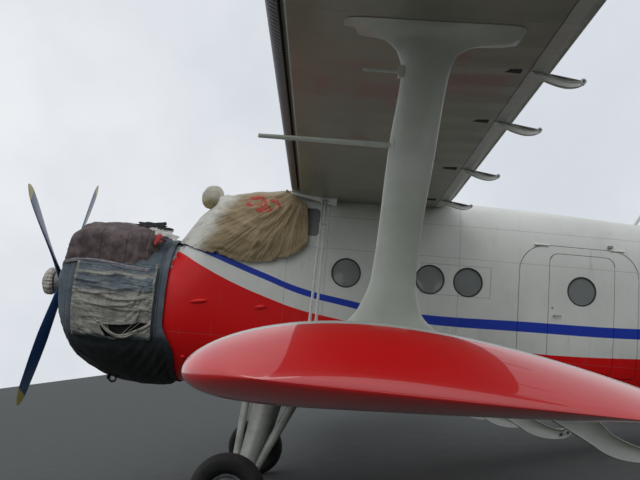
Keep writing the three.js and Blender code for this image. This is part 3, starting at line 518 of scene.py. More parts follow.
def near(value, middle, half, soft=0.0015):
    """1 within half of the middle value, falling to 0 just outside."""
    return 1.0 - ramp(abs(value - middle), half, half + soft)


def most(values):
    result = values[0]
    for value in values[1:]:
        result = maths("MAXIMUM", result, value)
    return result


# %% [markdown]
# The fuselage paint is a warm white that has greyed, with a red sweep from the nose, a blue line
# above it, panel joints, rows of flush rivets and rain streaks of dirt.

# %% Fuselage paint
RED_EDGE = [
    (1.4, 0.53), (1.53, 0.49), (1.95, 0.28), (2.36, 0.1), (2.8, -0.05), (3.16, -0.15),
    (3.49, -0.205), (4.4, -0.33), (5.73, -0.44), (7.23, -0.41), (9.5, -0.2), (11.6, 0.1)
]
BLUE_MIDDLE = [
    (1.4, 0.69), (2.11, 0.425), (2.67, 0.232), (3.25, 0.054), (3.75, -0.03), (4.15, -0.1),
    (4.52, -0.135), (5.8, -0.135), (7.22, -0.113), (9.5, 0.06), (11.6, 0.34)
]
BLUE_HALF = [
    (1.4, 0.03), (2.11, 0.034), (3.25, 0.036), (3.75, 0.038), (4.52, 0.05), (7.22, 0.06),
    (11.6, 0.055)
]
WHITE = (0.74, 0.74, 0.69, 1)
WHITE_DULL = (0.62, 0.625, 0.575, 1)
RED = (0.74, 0.003, 0.004, 1)
RED_DULL = (0.5, 0.004, 0.005, 1)
BLUE = (0.014, 0.045, 0.42, 1)
# Dirt on the paint and in its joints; on the wing's underside the same tone also paints a shadow
# line.
DIRT_AND_SHADE = (0.13, 0.125, 0.11, 1)
FRAME_JOINTS = [2.95, 3.42, 5.02, 7.46, 8.62, 9.8, 10.7]
STRINGER_JOINTS = [1.02, 0.62, -0.52]
SIDE_HATCH = (4.566, 5.406, 0.166, 0.535)


def joints_and_rivets(place, station, height):
    """Where two skin panels meet, and the flush rivets in rows beside that line."""
    joint = most(
        [near(station, s, 0.0016) for s in FRAME_JOINTS]
        + [near(height, z, 0.0014) for z in STRINGER_JOINTS]
    )
    spots = read(
        place.material, "ShaderNodeTexVoronoi", "Distance",
        {"Vector": place, "Scale": 34.0, "Randomness": 0.0}, feature="F1"
    )
    front, rear, low, high = SIDE_HATCH
    beside = (
        near(station, (front + rear) / 2, (rear - front) / 2)
        * near(height, (low + high) / 2, (high - low) / 2)
    )
    inside = (
        near(station, (front + rear) / 2, (rear - front) / 2 - 0.008)
        * near(height, (low + high) / 2, (high - low) / 2 - 0.006)
    )
    joint = maths("MAXIMUM", joint, beside - inside)
    rows = most(
        [near(station, s + 0.018, 0.012) for s in FRAME_JOINTS]
        + [near(height, z - 0.018, 0.012) for z in STRINGER_JOINTS]
    )
    heads = 1.0 - ramp(spots, 0.08, 0.12)
    return joint, rows * heads


def painted_metal(name, striped=True):
    """White skin, or white with the red sweep and blue line, worn by weather."""
    material, shader = new_finish(
        name, "white_paint", Coat_Weight=0.08, Coat_Roughness=0.12, Specular_IOR_Level=0.3
    )
    place = body_place(material)
    station, port, height = body_parts(place)
    broad = mottle(place, 1.1, 5.0, 0.6)
    colour = blend(ramp(broad, 0.35, 0.75), WHITE, WHITE_DULL)
    if striped:
        red_tone = blend(ramp(broad, 0.5, 0.85), RED, RED_DULL)
        wave = mottle(place, 9.0, 2.0) * 0.004
        edge = along_curve(station, RED_EDGE) + wave
        below = 1.0 - ramp(height, edge, edge + 0.004)
        colour = blend(below, colour, red_tone)
        half = along_curve(station, BLUE_HALF, 0.0, 0.2)
        middle = along_curve(station, BLUE_MIDDLE)
        away = abs(height - middle)
        on_line = 1.0 - ramp(away, half, half + 0.004)
        colour = blend(on_line, colour, BLUE)
    joint, rivets = 0.0, 0.0
    if striped:
        joint, rivets = joints_and_rivets(place, station, height)
        colour = blend(joint * 0.55, colour, DIRT_AND_SHADE)
    stretched = read(
        material, "ShaderNodeMapping", "Vector", {"Vector": place, "Scale": (1.0, 1.0, 0.12)}
    )
    streaks = ramp(mottle(stretched, 14.0, 5.0, 0.65), 0.56, 0.82)
    colour = blend(streaks * 0.28, colour, DIRT_AND_SHADE)
    link(colour, shader, "Base Color")
    link(broad * 0.22 + 0.24, shader, "Roughness")
    waves = mottle(place, 2.4, 1.0)
    relief = rivets * 0.3 - joint
    relief = waves * 1.6 + relief
    bump(shader, relief, 0.5, 0.002)
    return material


def plain_finish(name, slot, first, second, scale, rough, relief=0.0, grain=60.0, **sockets):
    """Two tones of one finish, mottled, with a fine grain in its surface."""
    material, shader = new_finish(name, slot, **sockets)
    place = body_place(material)
    tone = mottle(place, scale, 6.0, 0.6)
    colour = blend(ramp(tone, 0.35, 0.7), first, second)
    link(colour, shader, "Base Color")
    link(tone * 0.2 + rough, shader, "Roughness")
    if relief:
        bump(shader, mottle(place, grain, 3.0), 0.6, relief)
    return material


fuselage_paint = painted_metal("fuselage_paint")
white_paint = painted_metal("white_paint", striped=False)
strut_paint = plain_finish(
    "strut_paint", "white_paint", (0.5, 0.515, 0.45, 1), (0.41, 0.425, 0.365, 1), 2.5, 0.24, 0.0006,
    5.0, Coat_Weight=0.3, Coat_Roughness=0.12
)
# The struts' olive grey made darker as painted shade for the legs, which stand in shade under the
# airframe; the door's fittings and handle take it too.
shaded_leg_paint = plain_finish(
    "shaded_leg_paint", "white_paint", (0.34, 0.35, 0.31, 1), (0.22, 0.225, 0.2, 1), 4.0, 0.3, 0.0006
)
lining = plain_finish(
    "lining", "white_paint", (0.1, 0.11, 0.1, 1), (0.06, 0.065, 0.06, 1), 6.0, 0.7, 0.001
)
print("fuselage paint, white paint and lining made")

# %% [markdown]
# The fuselage is a tube whose section goes from round at the nose to a full rounded box at the
# cabin and back to round at the tail. Its skin is a loft through fine rings at close stations,
# out along the outside and back along the inside, so that the wall has its thickness.

# %% Fuselage sections
# station, half width, top, bottom, squareness of the section
FUSELAGE_SECTIONS = [
    (1.49, 0.83, 0.575, -1.08, 2.4), (1.62, 0.845, 0.61, -1.12, 2.4),
    (1.83, 0.86, 0.86, -1.14, 2.6), (2.06, 0.868, 1.23, -1.15, 2.9),
    (2.45, 0.868, 1.32, -1.165, 3.3), (2.95, 0.865, 1.37, -1.175, 3.7),
    (3.4, 0.862, 1.385, -1.175, 4.0), (5.3, 0.862, 1.385, -1.175, 4.0),
    (6.2, 0.85, 1.36, -1.14, 3.8), (7.45, 0.78, 1.305, -1.01, 3.3), (8.6, 0.64, 1.215, -0.76, 2.8),
    (9.8, 0.45, 1.11, -0.43, 2.5), (10.7, 0.285, 1.02, -0.17, 2.3), (11.1, 0.2, 0.96, -0.02, 2.2),
    (11.48, 0.11, 0.86, 0.18, 2.0)
]
SKIN_FRONT, TAIL_END = 1.49, 11.48
WALL = 0.045
RING_POINTS = 96
DENSE = 1440


def body_ring(section, grow=0.0, count=RING_POINTS):
    """Evenly spaced points round a section, from the middle of its underside up to port."""
    station, half_width, top, bottom, squareness = section
    angle = np.linspace(-pi / 2, 1.5 * pi, DENSE + 1)
    c, s = np.cos(angle), np.sin(angle)
    y = np.sign(c) * (half_width + grow) * np.abs(c) ** (2 / squareness)
    half_height = (top - bottom) / 2 + grow
    z = (top + bottom) / 2 + np.sign(s) * half_height * np.abs(s) ** (2 / squareness)
    along = np.concatenate([[0], np.cumsum(np.hypot(np.diff(y), np.diff(z)))])
    spots = np.arange(count) / count * along[-1]
    return [
        (-station, float(a), float(b))
        for a, b in zip(np.interp(spots, along, y), np.interp(spots, along, z))
    ]


def stations_of(table, front, rear, step):
    """The table's own stations and even steps between them."""
    marks = [front] + [row[0] for row in table if front + 0.005 < row[0] < rear - 0.005] + [rear]
    made = [front]
    for a, b in zip(marks, marks[1:]):
        pieces = max(1, ceil((b - a) / step))
        made += [a + (b - a) * (k + 1) / pieces for k in range(pieces)]
    return made


def tube(table, front, rear, wall, step, count=RING_POINTS):
    """A tube with a wall, open at both ends."""
    places = stations_of(table, front, rear, step)
    outer = [body_ring(between(table, s), 0.0, count) for s in places]
    inner = [body_ring(between(table, s), -wall, count) for s in reversed(places)]
    made = lofted([*outer, *inner, outer[0]])
    welded(made)
    return made


def skin_port(station, height, table=FUSELAGE_SECTIONS):
    """How far to port the skin is at a station and height."""
    _, half_width, top, bottom, squareness = between(table, station)
    middle, half_height = (top + bottom) / 2, (top - bottom) / 2
    share = min(1.0, abs((height - middle) / half_height))
    return half_width * (1 - share ** squareness) ** (1 / squareness)


def line_inside(made):
    """Gives the inner wall the second material: its normals point at the middle line."""
    for face in made.faces:
        centre = face.calc_center_median()
        _, half_width, top, bottom, _ = between(FUSELAGE_SECTIONS, -centre.x)
        out = Vector(
            (0, centre.y / half_width, 2 * (centre.z - (top + bottom) / 2) / (top - bottom))
        )
        face.material_index = 1 if face.normal.dot(out) < 0 else 0
    return made


# %% [markdown]
# The windows, the doorway and the cockpit's side windows are carved out of the tube in one go.
# The cargo door and the crew door inside it are cut from the same tube, each a little smaller than
# its hole, so their skins follow the fuselage exactly.

# %% Fuselage and doors
WINDOW_RADIUS, WINDOW_HEIGHT = 0.166, 0.3385
BOTH_WINDOWS = [3.671, 4.675, 5.132]
STARBOARD_WINDOWS = [6.046, 6.502]
DOOR_WINDOW = 6.502
COCKPIT_WINDOW = {"front": 2.56, "rear": 3.312, "low": 0.755, "high": 1.105, "corner": 0.06}
CARGO_DOOR = {
    "front": 5.74, "rear": 7.2, "low": -0.66, "high": 0.87, "corner": 0.33, "low_corner": 0.06
}
CREW_DOOR = {"front": 6.1, "rear": 6.904, "low": -0.643, "high": 0.777, "corner": 0.11}
MOVE_GAP = 0.006
# how far to port a cut for a door starts, and how far out every cut ends
CUT_INNER, CUT_OUTER = 0.3, 1.2


def hole(made, station, inner, outer):
    start, end = (station, inner, WINDOW_HEIGHT), (station, outer, WINDOW_HEIGHT)
    rod(made, start, end, WINDOW_RADIUS, sides=72)
    return made


def panel(outline, inner, outer, grow=0.0):
    size = dict(outline)
    for key, way in (("front", -1), ("rear", 1), ("low", -1), ("high", 1)):
        size[key] = outline[key] + way * grow
    return slab(bmesh.new(), inner=inner, outer=outer, **size)


openings = panel(COCKPIT_WINDOW, -CUT_OUTER, CUT_OUTER)
for station in BOTH_WINDOWS:
    hole(openings, station, -CUT_OUTER, CUT_OUTER)
for station in STARBOARD_WINDOWS:
    hole(openings, station, -CUT_OUTER, -CUT_INNER)
fuselage = tube(FUSELAGE_SECTIONS, SKIN_FRONT, TAIL_END, WALL, 0.09)
fuselage = carved(fuselage, openings)
fuselage = carved(fuselage, panel(CARGO_DOOR, CUT_INNER, CUT_OUTER))
finish_piece(
    "fuselage_skin", line_inside(fuselage), [fuselage_paint, lining],
    replaces=["nose_shell", "cabin_shell", "rear_fuselage"]
)

DOOR_REACH = (5.6, 7.35)


def door_wall():
    return tube(FUSELAGE_SECTIONS, *DOOR_REACH, WALL, 0.05, 160)


cargo_door = carved(door_wall(), panel(CARGO_DOOR, CUT_INNER, CUT_OUTER, -MOVE_GAP), "INTERSECT")
cargo_door = carved(cargo_door, panel(CREW_DOOR, CUT_INNER, CUT_OUTER))
cargo_door = line_inside(cargo_door)
HINGE_FRONT, HINGE_REAR = Vector((5.74, 0.845, 0.868)), Vector((7.2, 0.749, 0.868))
for start, end in ((0.12, 0.24), (0.76, 0.88)):
    rod(cargo_door, HINGE_FRONT.lerp(HINGE_REAR, start), HINGE_FRONT.lerp(HINGE_REAR, end), 0.013)
CREW_PIN = {"station": 6.9, "port": 0.7, "radius": 0.014, "wall": 0.775}
CREW_HINGE_HEIGHTS = (-0.35, 0.5)
HINGE_TALL = 0.06


def crew_hinge(made, low, high, front, rear):
    """A knuckle on the crew door's upright pin and the lug that carries it."""
    pin = CREW_PIN
    rod(
        made, (pin["station"], pin["port"], low), (pin["station"], pin["port"], high), pin["radius"]
    )
    slab(made, front, rear, pin["port"] - pin["radius"], pin["wall"], low, high)


for height in CREW_HINGE_HEIGHTS:
    crew_hinge(cargo_door, height - HINGE_TALL, height - 0.0004, 6.906, 6.96)
finish_piece(
    "cargo_door_skin", cargo_door, [fuselage_paint, lining], body="cargo_door_panel",
    replaces=["cargo_door"]
)

crew_door = carved(door_wall(), panel(CREW_DOOR, CUT_INNER, CUT_OUTER, -MOVE_GAP), "INTERSECT")
crew_door = carved(crew_door, hole(bmesh.new(), DOOR_WINDOW, CUT_INNER, CUT_OUTER))
crew_door = line_inside(crew_door)
for height in CREW_HINGE_HEIGHTS:
    crew_hinge(crew_door, height, height + HINGE_TALL, 6.85, 6.894)
finish_piece(
    "crew_door_skin", crew_door, [fuselage_paint, lining], body="crew_door_panel",
    replaces=["crew_door"]
)

# %% [markdown]
# Each round window has a thin dark rubber seal round it. It follows the curve of the
# skin: a ring of the grid is bent round the window, and each point asks the skin how far to port
# it lies. The pane itself stays the frame's own, with a dark glass finish.

# %% Window rims and glass
rubber = plain_finish(
    "rubber", "dark_paint", (0.02, 0.02, 0.02, 1), (0.035, 0.035, 0.033, 1), 20.0, 0.55
)
glass, glass_shader = new_finish(
    "glass", "window_glass", Roughness=0.05, IOR=1.5, Transmission_Weight=0.62,
    Specular_IOR_Level=0.9
)
glass_place = object_place(glass)
glass_colour = blend(mottle(glass_place, 5.0), (0.42, 0.45, 0.44, 1), (0.6, 0.62, 0.6, 1))
link(glass_colour, glass_shader, "Base Color")
RIM = {"radius": WINDOW_RADIUS - 0.004, "width": 0.016, "proud": 0.005, "turns": 72}


def window_ring(station, side):
    """A raised ring on the skin round a window."""
    radius, width, proud, turns = RIM.values()
    profile = []
    for k in range(9):
        angle = pi * k / 8
        profile.append((radius + width / 2 - width / 2 * cos(angle), proud * sin(angle)))
    profile.append((radius + width, -0.006))
    profile.append((radius, -0.03))
    rings = []
    for t in range(turns + 1):
        angle = 2 * pi * (t % turns) / turns
        ring = []
        for out, rise in profile:
            s, z = station + out * cos(angle), WINDOW_HEIGHT + out * sin(angle)
            ring.append((-s, side * (skin_port(s, z) + rise), z))
        rings.append(ring)
    return closed_up(lofted(rings), caps=False)


bumps = bmesh.new()
for s, z, long, tall in (
    (1.95, -0.136, 0.11, 0.028), (2.69, -0.149, 0.075, 0.03), (1.8, -0.809, 0.03, 0.026)
):
    lean = Matrix.Rotation(radians(9), 4, "Y")
    shape = Matrix.Diagonal((long, 0.022, tall, 1))
    bmesh.ops.create_icosphere(
        bumps, subdivisions=4, radius=1,
        matrix=Matrix.Translation((-s, skin_port(s, z), z)) @ lean @ shape
    )
finish_piece("nose_bumps", bumps, fuselage_paint, sharp=60)
door_fittings = bmesh.new()
for s in (6.11, 6.848):
    slab(door_fittings, s - 0.03, s + 0.03, 0.76, 0.793, 0.896, 0.926, 0.004)
finish_piece("door_fittings", door_fittings, shaded_leg_paint)
fairing = bmesh.new()
rod(fairing, (2.93, 0.79, 1.27), (3.5, 0.8, 1.215), 0.012, 0.07)
rod(fairing, (3.19, 0.8, 1.245), (3.19, 0.829, 1.245), 0.012)
rod(fairing, (3.3, 0.8, 1.23), (3.3, 0.85, 1.18), 0.01)
rod(fairing, (3.4, 0.8, 1.23), (3.4, 0.86, 1.17), 0.01)
finish_piece("wing_root_fairing", fairing, white_paint)
handle = bmesh.new()
key_port, handle_port = skin_port(6.151, 0.117), skin_port(6.2, 0.026)
slab(handle, 6.14, 6.162, key_port - 0.006, key_port + 0.004, 0.105, 0.13, 0.004)
rod(handle, (6.17, handle_port - 0.01, 0.026), (6.17, handle_port + 0.03, 0.026), 0.009)
rod(handle, (6.165, handle_port + 0.026, 0.026), (6.255, handle_port + 0.022, 0.03), 0.008, 0.006)
finish_piece("crew_door_handle", handle, shaded_leg_paint, body="crew_door_panel")

window_places = [(s, 1, f"left_{i + 1}") for i, s in enumerate(BOTH_WINDOWS)]
window_places += [(s, -1, f"right_{i + 1}") for i, s in enumerate(BOTH_WINDOWS + STARBOARD_WINDOWS)]
for station, side, label in window_places:
    rim = window_ring(station, side)
    finish_piece(f"window_rim_{label}", rim, rubber)
finish_piece("crew_window_rim", window_ring(DOOR_WINDOW, 1), rubber, body="crew_door_panel")


def smooth_node(name, material, angle=40):
    """Keeps a frame node and gives it a finish and soft shading."""
    node = frame["nodes"][name]
    node.data.materials.clear()
    node.data.materials.append(material)
    tree = bpy.data.node_groups.get("soft_shading") or soft_shading(angle)
    node.modifiers.new("soft_shading", "NODES").node_group = tree


def soft_shading(angle):
    """A modifier that joins a node's loose triangles and smooths all but its sharp edges."""
    tree = bpy.data.node_groups.new("soft_shading", "GeometryNodeTree")
    tree.interface.new_socket("Geometry", in_out="INPUT", socket_type="NodeSocketGeometry")
    tree.interface.new_socket("Geometry", in_out="OUTPUT", socket_type="NodeSocketGeometry")
    nodes, links = tree.nodes, tree.links
    start, end = nodes.new("NodeGroupInput"), nodes.new("NodeGroupOutput")
    merge = nodes.new("GeometryNodeMergeByDistance")
    merge.inputs["Distance"].default_value = 0.0001
    edge_angle = nodes.new("GeometryNodeInputMeshEdgeAngle")
    sharp = nodes.new("FunctionNodeCompare")
    sharp.data_type, sharp.operation = "FLOAT", "LESS_EQUAL"
    sharp.inputs["B"].default_value = radians(angle)
    smooth = nodes.new("GeometryNodeSetShadeSmooth")
    smooth.domain = "EDGE"
    whole = nodes.new("GeometryNodeSetShadeSmooth")
    links.new(start.outputs[0], merge.inputs["Geometry"])
    links.new(merge.outputs[0], whole.inputs["Geometry"])
    links.new(whole.outputs[0], smooth.inputs["Geometry"])
    links.new(edge_angle.outputs["Unsigned Angle"], sharp.inputs["A"])
    links.new(sharp.outputs["Result"], smooth.inputs["Shade Smooth"])
    links.new(smooth.outputs[0], end.inputs[0])
    return tree


for name in frame["nodes"]:
    if "window" in name or name == "crew_door_pane":
        smooth_node(name, glass)
print("window rims and glass made")

# %% [markdown]
# A wing is one section carried along the span. The fabric between its ribs sinks a few
# millimetres, which shows as faint waves in the shine. The rear of both wings ends in a hollow
# cove, where the flaps and ailerons are missing.

# %% Wing sections
CAMBER_AT = 0.4
ROOT_PORT = 0.79
UPPER_WING = {
    "chord": 2.4, "fixed": 2.0, "thickness": 0.14, "camber": 0.03, "dihedral": radians(2.5),
    "incidence": radians(1.8), "leading_station": 2.926, "leading_height": 1.347, "root": 0.872,
    "cap": 8.55, "tip": 9.09, "tip_draw": 0.62, "tip_power": 2.6, "tip_lead": 0.32, "sag": 0.004
}
LOWER_WING = {
    "chord": 2.1, "fixed": 1.69, "thickness": 0.1586, "camber": 0.0424, "dihedral": radians(2.44),
    "incidence": radians(1.48), "leading_station": 2.922, "leading_height": -0.911, "root": 0.56,
    "cap": 6.945, "tip": 7.278, "tip_draw": 0.349, "tip_power": 1.9, "tip_lead": 0.457, "sag": 0.003
}
RIB_PITCH = 0.33
# The slat's inner face and the wing's nose behind it, as shares of the chord: aft, up.
SLAT_INNER = [(0.135, 0.0735), (0.09, 0.055), (0.055, 0.03), (0.042, 0.005), (0.038, -0.018)]
NOSE_BEHIND_SLAT = [(0.14, 0.072), (0.0945, 0.0515), (0.06, 0.027), (0.047, 0.004), (0.043, -0.02)]


def airfoil(wing, share, side):
    """The section's upper (side 1) or lower (side -1) height at a share of the chord."""
    powers = (share ** 0.5, share, share ** 2, share ** 3, share ** 4)
    factors = (0.2969, -0.126, -0.3516, 0.2843, -0.1036)
    half = 5 * wing["thickness"] * sum(f * p for f, p in zip(factors, powers))
    rise = 2 * CAMBER_AT * share - share ** 2
    if share < CAMBER_AT:
        line = wing["camber"] * rise / CAMBER_AT ** 2
    else:
        line = wing["camber"] * (1 - 2 * CAMBER_AT + rise) / (1 - CAMBER_AT) ** 2
    return line + side * half


def evenly(points, count):
    """A polyline's points again, evenly spaced along it."""
    line = np.array(points, float)
    along = np.concatenate([[0], np.cumsum(np.linalg.norm(np.diff(line, axis=0), axis=1))])
    spots = np.linspace(0, along[-1], count)
    return list(zip(*(np.interp(spots, along, line[:, k]).tolist() for k in range(line.shape[1]))))


def skin_side(wing, side, start, end, count):
    """Points along the upper or lower skin, closer together towards the nose."""
    return [(s, airfoil(wing, s, side)) for s in np.linspace(start ** 0.5, end ** 0.5, count) ** 2]


# The hollow face before the missing flaps, as shares of the way aft and up from the lower skin's
# edge: the edge is rolled, a stringer runs along the middle, and the lip turns down a little.
COVE_DEEP, COVE_LIP = 0.13, 0.01
COVE_FACE = [
    (0.0, 0.0), (0.05, 0.012), (0.06, 0.045), (-0.02, 0.075), (-0.05, 0.12), (0.0, 0.25),
    (0.06, 0.38), (0.15, 0.47), (0.24, 0.5), (0.25, 0.56), (0.2, 0.62), (0.24, 0.72), (0.34, 0.83),
    (0.5, 0.91), (0.7, 0.955), (0.88, 0.96), (0.93, 0.9), (1.0, 0.9), (1.0, 1.0)
]


def cove(wing):
    end = wing["fixed"] / wing["chord"]
    stop = end - COVE_DEEP / wing["chord"]
    low = airfoil(wing, stop, -1)
    lip = airfoil(wing, end, 1) - COVE_LIP / wing["chord"] / 4
    return [(stop + aft * (end - stop), low + up * (lip - low)) for aft, up in COVE_FACE]


def wing_outline(wing, whole=False, slatted=False):
    """Round the section: aft along the underside, up the cove, forward over the top."""
    end = 1.0 if whole else wing["fixed"] / wing["chord"]
    stop = 1.0 if whole else end - COVE_DEEP / wing["chord"]
    rear = [] if whole else cove(wing)[1:-1]
    if slatted:
        nose = evenly(NOSE_BEHIND_SLAT, 14)
        bottom = evenly([nose[-1], *skin_side(wing, -1, 0.06, stop, 30)], 34)
        top = evenly([*reversed(skin_side(wing, 1, 0.17, end, 24)), nose[0]], 30)
        return bottom + rear + top[:-1] + nose[:-1]
    bottom = skin_side(wing, -1, 0.0, stop, 36)
    top = list(reversed(skin_side(wing, 1, 0.0, end, 36)))
    return bottom + rear + top[:-1]


def stand_wing(wing):
    return (
        Matrix.Translation((-wing["leading_station"], ROOT_PORT, wing["leading_height"]))
        @ Matrix.Rotation(wing["dihedral"], 4, "X") @ Matrix.Rotation(-wing["incidence"], 4, "Y")
        @ Matrix.Translation((0, -ROOT_PORT, 0))
    )


def rib_sag(wing, port, share):
    """How far the fabric has sunk between two ribs."""
    if share < 0.16 or share > 0.8:
        return 0.0
    along = 0.5 - 0.5 * cos(2 * pi * port / RIB_PITCH)
    return wing["sag"] * along * min(1.0, (share - 0.16) / 0.06, (0.8 - share) / 0.06)


def span_rings(wing, outline, ports):
    """Rings of one outline along the span, with the skins sunk between the ribs."""
    chord = wing["chord"]
    middle = [airfoil(wing, share, 1) * 0.5 for share in np.clip([s for s, _ in outline], 0, 1)]
    return [
        [
            (-share * chord, port, up * chord - copysign(rib_sag(wing, port, share), up - half_way))
            for (share, up), half_way in zip(outline, middle)
        ]
        for port in ports
    ]


def tip_rings(wing, outline, steps=30):
    """The blunt rounded tip: the chord draws in and the section thins to nothing."""
    rings = []
    draw, power = wing["tip_draw"], wing["tip_power"]
    for k in range(steps + 1):
        share = sin(pi / 2 * k / steps)
        left = max(0.0, 1 - share ** power) ** (1 / power)
        drawn = draw * (1 - left) * wing["chord"]
        port = wing["cap"] + share * (wing["tip"] - wing["cap"])
        thin = max(left, 0.02)
        chord = wing["chord"] - drawn
        lead = wing["tip_lead"] * drawn
        rings.append([(-(lead + s * chord), port, thin * up * chord) for s, up in outline])
    return rings


def span_ports(wing):
    steps = int((wing["cap"] - wing["root"]) / (RIB_PITCH / 6))
    return np.linspace(wing["root"], wing["cap"], steps + 1)


# %% [markdown]
# The hinge arms are curved channels that hang below the wing and end in a fork behind its trailing
# edge. Each is an outline extruded sideways whose two flat faces are sunk inside a raised rim.

# %% Hinge arms
UPPER_ARMS = [1.1, 2.45, 3.88, 4.9, 6.15, 7.3, 8.35]
LOWER_ARMS = [1.4, 2.4, 3.4, 4.35, 5.3, 6.5]
ARM_THICKNESS = 0.034
ARM_AHEAD = 0.26
# bend and end of each curve of an arm, as distances aft of the wing's edge and below it
UPPER_ARM_CURVES = [
    ((-0.11, 0.095), (0.04, 0.105)), ((0.15, 0.1), (0.172, 0.042)), ((0.152, 0.02), (0.128, 0.05)),
    ((0.06, 0.08), (-0.07, 0.03))
]
LOWER_ARM_CURVES = [
    ((-0.13, 0.04), (0.023, 0.118)), ((0.1, 0.172), (0.218, 0.168)),
    ((0.318, 0.163), (0.332, 0.121)), ((0.325, 0.085), (0.268, 0.106)), ((0.2, 0.108), (0.1, 0.06)),
    ((0.05, 0.01), (-0.03, -0.02))
]
UPPER_BOLTS = [(0.15, 0.05)]
LOWER_BOLTS = [(0.305, 0.122), (0.268, 0.136)]


def curve_through(start, bend, end, steps=8):
    """Points on a curve that starts towards its bend and ends coming from it."""
    made = []
    for k in range(1, steps + 1):
        t = k / steps
        made.append(
            tuple(
                (1 - t) ** 2 * a + 2 * (1 - t) * t * b + t ** 2 * c
                for a, b, c in zip(start, bend, end)
            )
        )
    return made


def plate(outline, inner, outer, edge=0.004):
    """A flat plate from an outline of station and height, with softened edges."""
    made = bmesh.new()
    made.loops.layers.uv.new("UVMap")
    corners = [made.verts.new((-s, inner, z)) for s, z in outline]
    face = made.faces.new(corners)
    moved = bmesh.ops.extrude_face_region(made, geom=[face])
    verts = [item for item in moved["geom"] if isinstance(item, bmesh.types.BMVert)]
    bmesh.ops.translate(made, verts=verts, vec=(0, outer - inner, 0))
    face_out(made)
    rims = [e for e in made.edges if abs(e.verts[0].co.y - e.verts[1].co.y) < 1e-6]
    bmesh.ops.bevel(
        made, geom=rims, offset=edge, segments=2, profile=0.5, affect="EDGES", material=-1
    )
    return made


def join_in(made, added):
    """Adds one shape's faces to another."""
    data = bpy.data.meshes.new("joined")
    added.to_mesh(data)
    added.free()
    made.from_mesh(data)
    bpy.data.meshes.remove(data)
    return made


def mark_new(made, before, index=1):
    """Gives the faces that weren't there before another of the piece's materials."""
    for face in set(made.faces) - before:
        face.material_index = index


def hinge_arm(wing, curves, bolts, port):
    """A channel-sided arm, and the bolts at its end in the second material."""
    fixed, chord = wing["fixed"], wing["chord"]
    under = airfoil(wing, fixed / chord, -1) * chord
    root = fixed - ARM_AHEAD
    outline = [(root, airfoil(wing, root / chord, -1) * chord + 0.03)]
    for bend, end in curves:
        outline += curve_through(
            outline[-1], (fixed + bend[0], under - bend[1]), (fixed + end[0], under - end[1])
        )
    outline.append((fixed - 0.09, outline[-1][1] + 0.02))
    half = ARM_THICKNESS / 2
    made = plate(outline, port - half, port + half, 0.002)
    sides = [face for face in made.faces if len(face.verts) > 8]
    bmesh.ops.inset_region(made, faces=sides, thickness=0.01, depth=-0.006, use_even_offset=True)
    slab(
        made, root - 0.16, root - 0.01, port - 0.03, port + 0.03, outline[0][1] - 0.036,
        outline[0][1]
    )
    # The block at the arm's root takes the third material: near-black, as painted shade in the slot.
    for face in made.faces:
        if len(face.verts) == 4 and max(v.co.x for v in face.verts) > -(root - 0.005):
            face.material_index = 2
    aft, down = bolts[0]
    s, z = fixed + aft, under - down
    rod(made, (s, port - half - 0.002, z), (s, port + half + 0.002, z), 0.02, sides=24)
    before = set(made.faces)
    for aft, down in bolts:
        s, z = fixed + aft, under - down
        rod(made, (s, port - half - 0.006, z), (s, port + half + 0.006, z), 0.0085, sides=12)
    mark_new(made, before)
    return made


# %% [markdown]
# The wing's fabric is doped a grey white, with traces of an older red showing through in places.
# The underside gets a darker olive colour from the way each face points. Part of that is the
# duller bare skin, part is painted shade, and the olive is a painted reflection of green grass.
# The lower wing's tips are red.

# %% Wing finishes
FABRIC = (0.5, 0.505, 0.46, 1)
# Underside tones: the duller bare skin, darkened as painted shade and tinted olive as a painted
# reflection of grass.
SHADED_FABRIC_UNDER = (0.25, 0.26, 0.19, 1)
OLD_RED = (0.3, 0.13, 0.11, 1)
# Painted highlight: the lower skin's rolled edge at the cove is painted lighter, as if it caught the
# sky.
ROLLED_EDGE_HIGHLIGHT = (0.5, 0.515, 0.46, 1)
# middle and half length along the chord, then middle and half width along the span
OLD_PATCHES = [(3.58, 0.3, 4.4, 0.16), (4.32, 0.24, 4.62, 0.17)]


